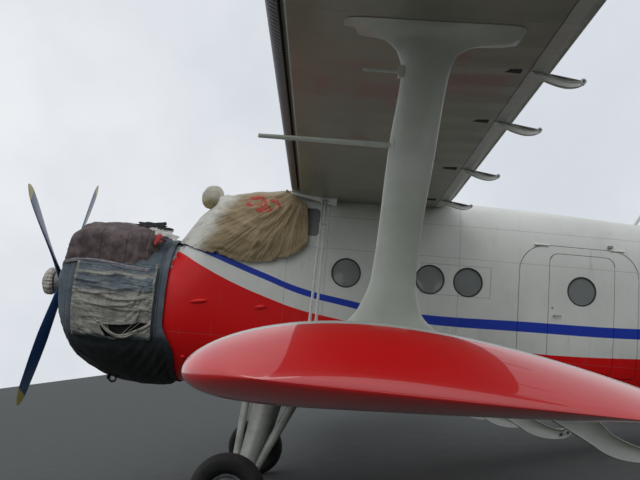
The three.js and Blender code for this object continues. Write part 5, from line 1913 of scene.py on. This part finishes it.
def cloth_finish(name, slot, weave=420.0, creased=None):
    """A woven cloth in object space, ready for its colour. Creases run the way they are given."""
    material, shader = new_finish(name, slot, Roughness=0.85, Sheen_Weight=0.05)
    place = body_place(material)
    station, port, height = body_parts(place)
    threads = mottle(place, weave, 2.0)
    relief = mottle(place, 9.0, 6.0, 0.65) * 5.0 + threads * 0.35
    if creased is not None:
        relief = creased(station, port, height) * 14.0 + relief
    bump(shader, relief, 0.7, 0.004)
    return material, shader, place, station, height


def stretched_noise(along, across, third):
    """Noise over any three measures, which makes long creases where one of them is slow."""
    inputs = {"X": along, "Y": across, "Z": third}
    spot = read(along.material, "ShaderNodeCombineXYZ", "Vector", inputs)
    return mottle(spot, 1.0, 3.0, 0.55)


def level_creases(station, port, height):
    sag = station * 0.12 + height
    return stretched_noise(station * 2.6, sag * 30.0, port * 3.0)


def corner_creases(station, port, height):
    """Creases that fan out from the canvas's upper rear corner."""
    aft = CORNER_STATION - station
    down = CORNER_HEIGHT + 0.03 - height
    way = maths("ARCTAN2", down, aft)
    squares = aft * aft + down * down
    far = maths("SQRT", squares)
    return stretched_noise(way * 19.0, far * 2.4, port * 1.5)


print("cloth helpers ready")

# %% [markdown]
# The engine cover is a tube of dark quilt round the cowling. It is hemmed round the propeller
# shaft, strapped behind, and sags between. Towards its underside it is painted darker, to
# nearly black, as painted shade.

# %% Engine cover
COVER_END = 1.688
ENGINE_COVER_SECTIONS = [
    (0.12, 0.445, 0.385, -0.44, 2.1), (0.205, 0.638, 0.54, -0.655, 2.2),
    (0.365, 0.775, 0.64, -0.9, 2.3), (0.625, 0.8, 0.7, -1.03, 2.3), (1.0, 0.83, 0.705, -1.085, 2.4),
    (1.4, 0.862, 0.67, -1.13, 2.4), (COVER_END, 0.868, 0.65, -1.14, 2.4)
]
HEM_RADIUS = 0.335
TEAR = {"front": 0.8, "rear": 1.39, "top": -0.44, "drop": 0.17}

quilt, quilt_shader, quilt_place, quilt_station, quilt_height = cloth_finish("quilt", "quilt_cloth")
quilt_tone, quilt_colour = two_tones(
    quilt_place, 5.0, 5.0, 0.6, 0.3, 0.75, (0.075, 0.1, 0.125, 1), (0.13, 0.155, 0.175, 1)
)
quilt_worn = ramp(mottle(quilt_place, 16.0, 6.0, 0.7), 0.55, 0.8)
# Painted shade: the quilt is painted darker towards its underside, to nearly black.
shade_level = quilt_tone * 0.35 + quilt_height
# Painted shade: near-black on the quilt where it shows through the patch's tear.
tear_shade = near(quilt_station, 1.1, 0.29, 0.03) * near(quilt_height, -0.52, 0.11, 0.02)
seams = most([near(quilt_station, s, 0.004, 0.004) for s in (0.3, 1.43, 1.46)])
# The worn patches and seams are the cloth's own; the two dark tones low down and the black behind
# the tear are painted shade.
painted(
    quilt_shader, quilt_colour, (quilt_worn * 0.5, (0.24, 0.25, 0.25, 1)),
    (ramp(shade_level, -0.3, -0.5), (0.02, 0.028, 0.03, 1)),
    (ramp(shade_level, -0.5, -0.66), (0.003, 0.003, 0.003, 1)), (tear_shade, (0.006, 0.006, 0.006, 1)),
    (seams * 0.7, (0.02, 0.025, 0.03, 1))
)


SHEAR_START = 1.2


def cover_rear(height):
    """Where the cover ends: straight behind the strap, and swept back below."""
    share = clamped((-0.42 - height) / 0.4)
    return 1.535 + 0.15 * share * share * (3 - 2 * share)


def cover_cloth():
    made = cloth_body(ENGINE_COVER_SECTIONS, 0.12, COVER_END, 0.026, 190, 0.004)
    front = [edge for edge in made.edges if edge.is_boundary and edge.verts[0].co.x > -0.13]
    for share in (0.75, 0.5, 0.25, 0.0):
        moved = bmesh.ops.extrude_edge_only(made, edges=front)
        verts = [item for item in moved["geom"] if isinstance(item, bmesh.types.BMVert)]
        for vert in verts:
            out = Vector((vert.co.y, vert.co.z))
            radius = HEM_RADIUS + (out.length - HEM_RADIUS) * (0.72 if share else 0.0)
            vert.co = Vector((-0.116 - 0.004 * share, *out.normalized() * radius))
        front = [item for item in moved["geom"] if isinstance(item, bmesh.types.BMEdge)]
    for vert in made.verts:
        station = -vert.co.x
        if station > SHEAR_START:
            rear = cover_rear(vert.co.z)
            share = (station - SHEAR_START) / (COVER_END - SHEAR_START)
            vert.co.x = -(SHEAR_START + share * (rear - SHEAR_START))
    face_out(made)
    return made


def cover_tie(station, port, height):
    if station > cover_rear(height) - 0.08 or hypot(port, height) < HEM_RADIUS + 0.01:
        return 1.0
    return 0.0


cover_form = closed_up(cloth_body(ENGINE_COVER_SECTIONS, 0.13, COVER_END, 0.06, 90, -0.03))
cover = fall(cover_cloth(), [cover_form], cover_tie, 24, 0.018)


def cover_depth(station, port, height):
    strap = bell(station - cover_rear(height) + 0.09, 0.025)
    seam = bell(station - 0.3, 0.008)
    fold = ridges(station * 1.6, port, height * 0.6, 4.0, 3.0)
    front = 1.0 if station < 0.3 else 0.55
    return 0.011 * fold * front - 0.01 * strap - 0.006 * seam


crease(cover, cover_depth)
face_out(cover)
thicken(cover, 0.012)
cover_piece = finish_piece("engine_cover_cloth", cover, quilt, replaces=["engine_cover"], sharp=80)

# %% [markdown]
# On the port side an old patch is sewn over the cover: a worn blue-grey top, bleached cloth that
# hangs below it in loose folds between its two upright seams, and a long tear that gapes.

# %% Side patch
PATCH = {"front": 0.41, "rear": 1.41, "top": 0.25, "bottom": -0.65}
PATCH_SEAMS = (0.41, 1.27, 1.41)
BLEACHED = (0.4, 0.385, 0.335, 1)
BLEACHED_DULL = (0.24, 0.235, 0.205, 1)

patch_cloth, patch_shader, patch_place, patch_station, patch_height = cloth_finish(
    "patch_cloth", "quilt_cloth", creased=level_creases
)
patch_tone = mottle(patch_place, 7.0, 6.0, 0.65)
patch_level = patch_tone * 0.16 + patch_height
patch_colour = blend(ramp(patch_tone, 0.35, 0.7), (0.11, 0.14, 0.17, 1), (0.22, 0.25, 0.26, 1))
bleached = blend(ramp(patch_tone, 0.38, 0.62), BLEACHED_DULL, BLEACHED)
pale_parts = most(
    [
        ramp(patch_level, 0.04, -0.05), near(patch_level, 0.195, 0.012, 0.02),
        near(patch_station, 0.425, 0.012, 0.01), near(patch_station, 1.4, 0.012, 0.01)
    ]
)
# Painted shade: the patch is painted a dark teal near its bottom edge.
bottom_shade = ramp(patch_level, -0.5, -0.57)
patch_dirt = ramp(mottle(patch_place, 22.0, 6.0, 0.75), 0.5, 0.75)
painted(
    patch_shader, patch_colour, (pale_parts, bleached), (bottom_shade, (0.05, 0.062, 0.065, 1)),
    (patch_dirt * 0.55, (0.07, 0.07, 0.065, 1))
)
hem_cloth = plain_finish(
    "hem_cloth", "quilt_cloth", (0.42, 0.4, 0.34, 1), (0.22, 0.2, 0.17, 1), 20.0, 0.8, 0.002, 90.0
)
cord_cloth = plain_finish(
    "cord_cloth", "quilt_cloth", (0.36, 0.33, 0.36, 1), (0.2, 0.18, 0.2, 1), 25.0, 0.8, 0.001, 150.0
)


def cover_port(station, height):
    return skin_port(station, height, ENGINE_COVER_SECTIONS)


def tear_low(station):
    share = (station - TEAR["front"]) / (TEAR["rear"] - TEAR["front"])
    if not 0 < share < 1:
        return TEAR["top"]
    return TEAR["top"] - TEAR["drop"] * sin(pi * share ** 0.75) ** 0.8


def patch_sheet():
    rings = []
    for height in np.linspace(PATCH["top"], PATCH["bottom"], 92):
        ring = []
        for station in np.linspace(PATCH["front"], PATCH["rear"], 104):
            wave = 0.014 * noise.noise(Vector((station * 3, height * 9, 1.7)))
            out = cover_port(station, height) + 0.03 + wave
            ring.append((-station, out, height))
        rings.append(ring)
    made = lofted(rings, closed=False)
    torn = []
    for face in made.faces:
        middle = face.calc_center_median()
        if tear_low(-middle.x) < middle.z < TEAR["top"] - 0.006:
            torn.append(face)
    bmesh.ops.delete(made, geom=torn, context="FACES")
    face_out(made)
    if sum(face.normal.y for face in made.faces) < 0:
        bmesh.ops.reverse_faces(made, faces=made.faces)
    return made


def patch_tie(station, port, height):
    if height > PATCH["top"] - 0.012 or height < PATCH["bottom"] + 0.012:
        return 1.0
    if station < PATCH["front"] + 0.012 or station > PATCH["rear"] - 0.012:
        return 1.0
    if abs(station - 1.27) < 0.006:
        return 0.9
    return 0.35 if height < TEAR["top"] - TEAR["drop"] - 0.02 else 0.0


patch_form = closed_up(cloth_body(ENGINE_COVER_SECTIONS, 0.13, COVER_END, 0.06, 90, 0.004))
patch = fall(patch_sheet(), [patch_form], patch_tie, 24, 0.06, bend=0.15, gap=0.006)


# level, front and rear end, how far its middle hangs, and depth of each loose fold
SWAGS = [
    (0.12, 0.4, 1.2, 0.03, 0.02), (0.02, 0.42, 0.8, 0.03, 0.026), (-0.03, 0.55, 1.24, 0.05, 0.03),
    (-0.1, 0.4, 1.0, 0.04, 0.026), (-0.15, 0.7, 1.38, 0.05, 0.034),
    (-0.22, 0.45, 1.26, 0.06, 0.036), (-0.29, 0.75, 1.38, 0.03, 0.026),
    (-0.4, 0.38, 0.9, 0.02, 0.016)
]


def swag_depth(station, height):
    """Each fold bulges over a sharp lower edge, as loose cloth does."""
    depth = 0.0
    for level, front, rear, hang, deep in SWAGS:
        share = (station - front) / (rear - front)
        if 0 < share < 1:
            arch = sin(pi * share)
            line = level - hang * arch + 0.012 * noise.noise(Vector((station * 7, level * 9, 2.0)))
            off = height - line
            depth += deep * arch ** 0.6 * bell(off, 0.034 if off > 0 else 0.008)
    return depth


def patch_depth(station, port, height):
    seam = sum(bell(station - s, 0.008) for s in PATCH_SEAMS)
    loose = clamped((0.14 - height) / 0.1) * clamped((height + 0.4) / 0.1)
    fold = ridges(station * 0.9, 0.0, height * 4.2, 3.4, 9.0)
    fine = ridges(station, port, height, 9.0, 4.0)
    deep = swag_depth(station, height)
    return deep + 0.01 * fold * loose + 0.005 * fine - 0.004 * seam


crease(patch, patch_depth)
smoothed(patch, 1, 0.3)
thicken(patch, 0.004)
height = PATCH["top"] + 0.002
edge_path = [
    (-s, cover_port(s, height) + 0.034, height + 0.012 * sin(s * 5.0))
    for s in np.linspace(PATCH["front"], PATCH["rear"], 40)
]
join_in(patch, hem_tube(edge_path, 0.007))
before = set(patch.faces)
for offset in (0.0, -0.022):
    roll_path = [
        (
            -s, cover_port(s, tear_low(s)) + 0.036 + 0.01 * sin(s * 21 + offset * 90),
            tear_low(s) + offset + 0.006 * sin(s * 17 + offset * 60)
        )
        for s in np.linspace(TEAR["front"] - 0.05, TEAR["rear"] + 0.02, 48)
    ]
    join_in(patch, hem_tube(roll_path, 0.013))
for foot, head in (
    ((1.06, -0.6), (1.21, -0.45)), ((1.1, -0.6), (1.28, -0.445)), ((0.9, -0.55), (0.84, -0.44))
):
    rod(
        patch, (foot[0], cover_port(*foot) + 0.03, foot[1]),
        (head[0], cover_port(*head) + 0.032, head[1]), 0.004, sides=6
    )
mark_new(patch, before)
patch_piece = finish_piece("side_patch", patch, [patch_cloth, hem_cloth], sharp=70)

# %% [markdown]
# A second, brown quilt is bundled over the cylinders. It is stuffed, stitched across in three
# seams, and tied down all round its lower edge. Torn bits of rag lie behind it.

# %% Brown quilt
COVER_LUMP_SECTIONS = [
    (0.14, 0.36, 0.5, 0.14, 2.2), (0.25, 0.61, 0.69, 0.09, 2.4), (0.42, 0.715, 0.81, 0.11, 2.6),
    (0.8, 0.75, 0.832, 0.12, 2.6), (1.1, 0.752, 0.815, 0.15, 2.5), (1.24, 0.72, 0.78, 0.2, 2.4),
    (1.34, 0.6, 0.72, 0.25, 2.2)
]
LUMP_SEAMS = (0.66, 0.98, 1.22)

brown_cloth, brown_shader, brown_place, brown_station, _ = cloth_finish(
    "brown_cloth", "brown_cloth"
)
_, brown_colour = two_tones(
    brown_place, 6.0, 6.0, 0.65, 0.35, 0.7, (0.08, 0.055, 0.056, 1), (0.19, 0.14, 0.135, 1)
)
brown_seams = most([near(brown_station, s, 0.003, 0.004) for s in LUMP_SEAMS])
painted(brown_shader, brown_colour, (brown_seams * 0.6, (0.012, 0.008, 0.009, 1)))


def lump_tie(station, port, height):
    return 1.0 if height < 0.24 else 0.0


lump_cloth = cloth_body(COVER_LUMP_SECTIONS, 0.14, 1.34, 0.022, 170, 0.016, ends=7)
lump_form = closed_up(cloth_body(COVER_LUMP_SECTIONS, 0.16, 1.32, 0.06, 80, -0.03))
lump = fall(lump_cloth, [lump_form], lump_tie, 26, 0.045, bend=0.3)


def lump_depth(station, port, height):
    seam = sum(bell(station - s, 0.014) for s in LUMP_SEAMS)
    level = bell(height - 0.42, 0.014) * (port > 0)
    folds = ridges(station * 1.3 + height * 0.9, port, height * 1.6, 3.2, 6.0)
    fine = ridges(station * 1.1 - height, port, height, 8.0, 2.0)
    return 0.016 * folds + 0.006 * fine - 0.013 * seam - 0.005 * level


crease(lump, lump_depth)
smoothed(lump, 1, 0.3)


def lump_port(station, height):
    return skin_port(station, height, COVER_LUMP_SECTIONS)


before = set(lump.faces)
for rise, thick in ((0.235, 0.014), (0.215, 0.009)):
    hem_path = []
    for s in np.linspace(0.17, 1.32, 60):
        height = rise + 0.035 * sin((s - 0.17) * 4.2) - 0.03 * (s > 1.1) * (s - 1.1)
        hem_path.append((-s, max(lump_port(s, height), cover_port(s, height)) + 0.022, height))
    join_in(lump, hem_tube(hem_path, thick))
mark_new(lump, before)
lump_piece = finish_piece(
    "brown_quilt", lump, [brown_cloth, cord_cloth], replaces=["cover_lump"], sharp=75
)

rag_dark = plain_finish(
    "rag_dark", "brown_cloth", (0.012, 0.012, 0.014, 1), (0.03, 0.028, 0.03, 1), 12.0, 0.8, 0.003,
    60.0
)
rag_white = plain_finish(
    "rag_white", "canvas", (0.62, 0.6, 0.56, 1), (0.4, 0.38, 0.35, 1), 12.0, 0.8, 0.003, 60.0
)
rag_red = plain_finish(
    "rag_red", "canvas", (0.45, 0.03, 0.03, 1), (0.3, 0.05, 0.045, 1), 12.0, 0.8, 0.003, 60.0
)
# middle station and height, length along, height across, turn, seed, and which finish
RAGS = [
    (1.2, 0.79, 0.34, 0.08, 0.1, 1.0, rag_dark), (1.38, 0.745, 0.2, 0.05, -0.15, 2.0, rag_dark),
    (1.33, 0.695, 0.3, 0.08, -0.1, 3.0, rag_white), (1.33, 0.6, 0.1, 0.14, 0.3, 4.0, rag_red),
    (1.38, 0.56, 0.09, 0.1, -0.5, 5.0, rag_dark), (1.5, 0.645, 0.14, 0.06, -0.4, 6.0, rag_white)
]
for number, (s, z, long, high, lean, seed, finish) in enumerate(RAGS):
    rings = []
    for a in np.linspace(-0.5, 0.5, 26):
        ring = []
        for b in np.linspace(-0.5, 0.5, 14):
            edge = 1 + 0.35 * noise.noise(Vector((a * 6 + seed, b * 5, seed)))
            along, across = a * long * edge, b * high * edge
            here = s + along * cos(lean) - across * sin(lean)
            level = z + along * sin(lean) + across * cos(lean)
            lift = 0.012 * noise.noise(Vector((a * 8, b * 8, seed * 3))) + 0.03
            depth = 0.42 + (0.8 - level) * 0.9
            ring.append((-here, min(0.8, max(0.3, depth)) + lift, level))
        rings.append(ring)
    rag = lofted(rings, closed=False)
    area = sum(face.calc_area() for face in rag.faces)
    thicken(rag, 0.006)
    face_out(rag)
    piece = finish_piece(f"rag_{number + 1}", rag, finish, sharp=70)
    1.1 * area / long

# %% [markdown]
# The cockpit's canvas starts as a loose copy of the roof under it, a hand's width larger, and
# falls on the roof. It is pulled to the upper rear corner and to a knot in front of the windscreen,
# so folds fan out from both.

# %% Cockpit canvas
CANVAS_FRONT, CANVAS_REAR = 1.54, 3.18
CANVAS_HEM = [(1.54, 0.6), (1.64, 0.575), (2.11, 0.45), (2.6, 0.425), (2.87, 0.44), (3.18, 0.62)]
CANVAS_EDGE = [(0.4, 3.18), (0.62, 3.18), (1.115, 3.15), (1.31, 2.93), (1.6, 2.9)]
KNOT = Vector((-1.9, 0.3, 1.215))
CORNER_STATION, CORNER_HEIGHT = 3.05, 1.27
# the windscreen's frame and the bundle that props the canvas in front of it
PROP_SECTIONS = [
    (1.5, 0.3, 0.6, 0.2, 2.0), (1.62, 0.42, 0.76, 0.2, 2.0), (1.76, 0.5, 0.98, 0.2, 2.0),
    (1.92, 0.58, 1.13, 0.2, 2.2), (2.12, 0.66, 1.25, 0.2, 2.6)
]

canvas, canvas_shader, canvas_place, canvas_station, canvas_height = cloth_finish(
    "canvas", "canvas", 300.0, creased=corner_creases
)
canvas_tone, canvas_colour = two_tones(
    canvas_place, 3.2, 6.0, 0.6, 0.32, 0.7, (0.38, 0.29, 0.165, 1), (0.25, 0.18, 0.09, 1)
)
lower = ramp(canvas_tone * 0.3 + canvas_height, 0.95, 0.6)
slanted = canvas_height * -0.5 + canvas_station
fore = canvas_tone * 0.3 + slanted
crown = ramp(canvas_height, 1.2, 1.34)
blots = ramp(mottle(canvas_place, 11.0, 3.0, 0.6), 0.5, 0.54)
blot_far = maths(
    "SQRT", ((canvas_station - 2.62) / 0.27) ** 2.0 + ((canvas_height - 1.13) / 0.15) ** 2.0
)
blot = blots * ramp(blot_far, 1.0, 0.8)
canvas_dirt = ramp(mottle(canvas_place, 15.0, 6.0, 0.75), 0.52, 0.8)
painted(
    canvas_shader, canvas_colour, (lower * 0.55, (0.19, 0.15, 0.085, 1)),
    (ramp(fore, 1.93, 1.68), (0.62, 0.6, 0.53, 1)), (crown * 0.6, (0.42, 0.37, 0.28, 1)),
    (blot * 0.85, (0.5, 0.035, 0.03, 1)), (canvas_dirt * 0.4, (0.13, 0.1, 0.06, 1))
)


def canvas_row(share, count=131):
    """One row of the canvas, from its port hem over the roof to its starboard hem."""
    station = CANVAS_FRONT + share * (CANVAS_REAR - CANVAS_FRONT)
    hem = float(np.interp(station, *zip(*CANVAS_HEM)))
    ring = body_ring(between(FUSELAGE_SECTIONS, station), 0.035, 400)
    over = [p for p in ring if p[2] > hem and p[1] >= 0]
    over += [p for p in ring if p[2] > hem and p[1] < 0]
    over = np.array(over)
    along = np.concatenate([[0], np.cumsum(np.linalg.norm(np.diff(over, axis=0), axis=1))])
    row = []
    for spot in np.linspace(0, along[-1], count):
        y, z = (float(np.interp(spot, along, over[:, k])) for k in (1, 2))
        rear = float(np.interp(z, *zip(*CANVAS_EDGE)))
        here = CANVAS_FRONT + share * (rear - CANVAS_FRONT)
        _, half, top, bottom, power = between(PROP_SECTIONS, here)
        if abs(y) < half and here < 2.12:
            prop = (
                (top + bottom) / 2
                + (top - bottom) / 2 * (1 - (abs(y) / half) ** power) ** (1 / power)
            )
            z = max(z, prop + 0.03)
        row.append((-here, y, z))
    return row


def canvas_tie(station, port, height):
    if (Vector((-station, port, height)) - KNOT).length < 0.09:
        return 1.0
    side = port > 0.5 or port < -0.5
    if side and abs(station - CORNER_STATION) < 0.12 and (height > 1.05):
        return 1.0
    ties = ((1.6, 0.6), (2.11, 0.45), (2.87, 0.44), (3.17, 0.63), (3.15, 1.1))
    if any(hypot(station - s, height - z) < 0.035 for s, z in ties):
        return 1.0
    if station < 2.1 and abs(port) < 0.5 and (height > 0.62):
        return 0.85
    return 1.0 if station < CANVAS_FRONT + 0.02 else 0.0


def nose_form():
    rings = [
        body_ring(between(FUSELAGE_SECTIONS, s), 0.012, 120)
        for s in stations_of(FUSELAGE_SECTIONS, 1.5, 3.5, 0.1)
    ]
    return closed_up(lofted(rings))


canvas_sheet = lofted([canvas_row(share) for share in np.linspace(0, 1, 112)], closed=False)
face_out(canvas_sheet)
if sum(face.normal.z * face.calc_area() for face in canvas_sheet.faces) < 0:
    bmesh.ops.reverse_faces(canvas_sheet, faces=canvas_sheet.faces)
drape = fall(canvas_sheet, [nose_form()], canvas_tie, 30, 0.05, bend=0.12, stiff=10.0)


def canvas_depth(station, port, height):
    side = clamped((abs(port) - 0.35) / 0.3)
    aft, down = CORNER_STATION - station, CORNER_HEIGHT - height
    way = atan2(down, max(aft, 0.001))
    far = hypot(aft, down)
    warp = noise.noise(Vector((station * 2.2, height * 2.2, 5.0 + (port > 0))))
    strength = min(1.0, far / 0.25) * bell(far, 1.25) * min(1.0, way / 0.35)
    fan = max(0.0, sin(way * 22 + warp * 5)) ** 1.5 * strength
    thin = max(0.0, sin(way * 61 + warp * 9)) * strength
    sag = height + 0.16 * sin(pi * (station - 2.0) / 1.1) ** 2 + 0.05 * warp
    swag = max(0.0, sin(sag * 34)) ** 2 * bell(station - 2.35, 0.4)
    knot_far = hypot(station - 1.93, height - 1.1)
    knot_way = atan2(1.1 - height, 1.93 - station)
    pull = max(0.0, sin(knot_way * 12 + warp * 4)) ** 2 * bell(knot_far, 0.42)
    fine = ridges(station, port, height, 5.0, 8.0)
    folds = 0.026 * fan + 0.007 * thin + 0.014 * swag + 0.016 * pull
    return side * folds + 0.008 * fine


crease(drape, canvas_depth)
smoothed(drape, 1, 0.4)
thicken(drape, 0.004)
drape_piece = finish_piece("cockpit_canvas", drape, canvas, replaces=["cockpit_cover"], sharp=75)

knot_rings = []
for turn in np.linspace(-pi / 2, pi / 2, 40):
    ring = []
    for angle in around(64):
        pleat = 0.06 * sin(angle * 9 + turn * 1.5) * (1.15 - sin(turn)) / 2
        lump_way = 0.12 * noise.noise(Vector((cos(angle), sin(angle), turn)) * 1.7)
        radius = 0.137 * (1 + pleat + lump_way) * max(0.03, cos(turn)) ** 0.8
        tall = 0.15 * sin(turn) - 0.02 * cos(angle) * cos(turn)
        spot = KNOT + Vector((cos(angle) * radius, sin(angle) * radius, 0.015 + tall))
        ring.append(tuple(spot))
    knot_rings.append(ring)
knot = closed_up(lofted(knot_rings), merge=0.0001)
before = set(knot.faces)
tie_path = [
    KNOT + Vector((cos(a) * 0.108, sin(a) * 0.108, -0.085 + 0.012 * sin(a)))
    for a in np.linspace(0, 2 * pi, 40)
]
join_in(knot, hem_tube([tuple(p) for p in tie_path], 0.008))
mark_new(knot, before)
knot_cloth, knot_shader, knot_place, _, knot_height = cloth_finish("knot_cloth", "canvas", 300.0)
knot_tone, knot_colour = two_tones(
    knot_place, 9.0, 5.0, 0.6, 0.3, 0.7, (0.58, 0.55, 0.46, 1), (0.44, 0.41, 0.32, 1)
)
painted(
    knot_shader, knot_colour,
    (ramp(knot_tone * 0.08 + knot_height, 1.26, 1.18), (0.4, 0.35, 0.17, 1))
)
knot_piece = finish_piece("canvas_knot", knot, [knot_cloth, cord_cloth], sharp=75)

# %% [markdown]
# A pale bag is gathered over the propeller's hub. It is a flat round cloth drawn together behind
# and bunched in front, so it has pleats all round, and its front round the mouth is painted dark
# as painted shade.

# %% Hub bag
BAG_PROFILE = [
    (-0.205, 0.03), (-0.225, 0.055), (-0.236, 0.095), (-0.215, 0.135), (-0.17, 0.158),
    (-0.12, 0.165), (-0.085, 0.14), (-0.07, 0.118)
]
bag_rings = []
for k in range(61):
    share = k / 60 * (len(BAG_PROFILE) - 1)
    s, radius = (
        float(np.interp(share, range(len(BAG_PROFILE)), column)) for column in zip(*BAG_PROFILE)
    )
    ring = []
    for angle in around(150):
        tight = 0.35 + 1.1 * abs(share / (len(BAG_PROFILE) - 1) - 0.5)
        fold = sin(angle * 17 + 1.5 * sin(angle * 3)) * 0.055 * tight
        bulge = 0.3 * noise.noise(Vector((cos(angle) * 1.3, sin(angle) * 1.3, s * 7)))
        grown = radius * (1 + fold + bulge)
        ring.append((-s, grown * cos(angle), grown * sin(angle)))
    bag_rings.append(ring)
bag = lofted(bag_rings)
welded(bag)
thicken(bag, 0.003)
before = set(bag.faces)
for s, radius, thick in ((-0.083, 0.142, 0.006), (-0.2, 0.046, 0.007)):
    loop = [
        (-s + 0.006 * sin(a * 3), cos(a) * radius, sin(a) * radius)
        for a in np.linspace(0, 2 * pi, 48)
    ]
    join_in(bag, hem_tube(loop, thick))
mark_new(bag, before)
bag_cloth, bag_shader, bag_place, bag_station, _ = cloth_finish("bag_cloth", "bag_cloth", 500.0)
bag_tone, bag_colour = two_tones(
    bag_place, 14.0, 5.0, 0.65, 0.35, 0.7, (0.6, 0.56, 0.5, 1), (0.36, 0.31, 0.26, 1)
)
# Painted shade: the bag's front, round its drawn-in mouth, is painted dark brown.
mouth_shade = ramp(bag_tone * 0.03 + bag_station, -0.185, -0.215)
painted(bag_shader, bag_colour, (mouth_shade * 0.8, (0.16, 0.09, 0.07, 1)))
bag_piece = finish_piece(
    "hub_bag_cloth", bag, [bag_cloth, rag_dark], body="propeller", replaces=["hub_bag"], sharp=75
)

# %% [markdown]
# Drain pipes stick out below the cowling, one of them through a ring.

# %% Drain pipes
drains = bmesh.new()
drains.loops.layers.uv.new("UVMap")
rod(drains, (0.83, 0.33, -1.02), (0.83, 0.33, -1.17), 0.016)
rod(drains, (0.86, 0.36, -1.05), (0.82, 0.36, -1.15), 0.01)
ring_path = [
    (-0.885 + 0.042 * cos(a), 0.335, -1.15 + 0.042 * sin(a)) for a in np.linspace(0, 2 * pi, 32)
]
join_in(drains, hem_tube(ring_path, 0.014))
rod(drains, (0.9, 0.33, -1.02), (0.93, 0.33, -1.14), 0.03, 0.022)
rod(drains, (1.1, 0.3, -1.0), (1.12, 0.3, -1.14), 0.034, 0.014)
drain_metal = plain_finish(
    "drain_metal", "steel", (0.02, 0.02, 0.02, 1), (0.045, 0.04, 0.035, 1), 20.0, 0.4, Metallic=0.6
)
finish_piece("drain_pipes", drains, drain_metal)
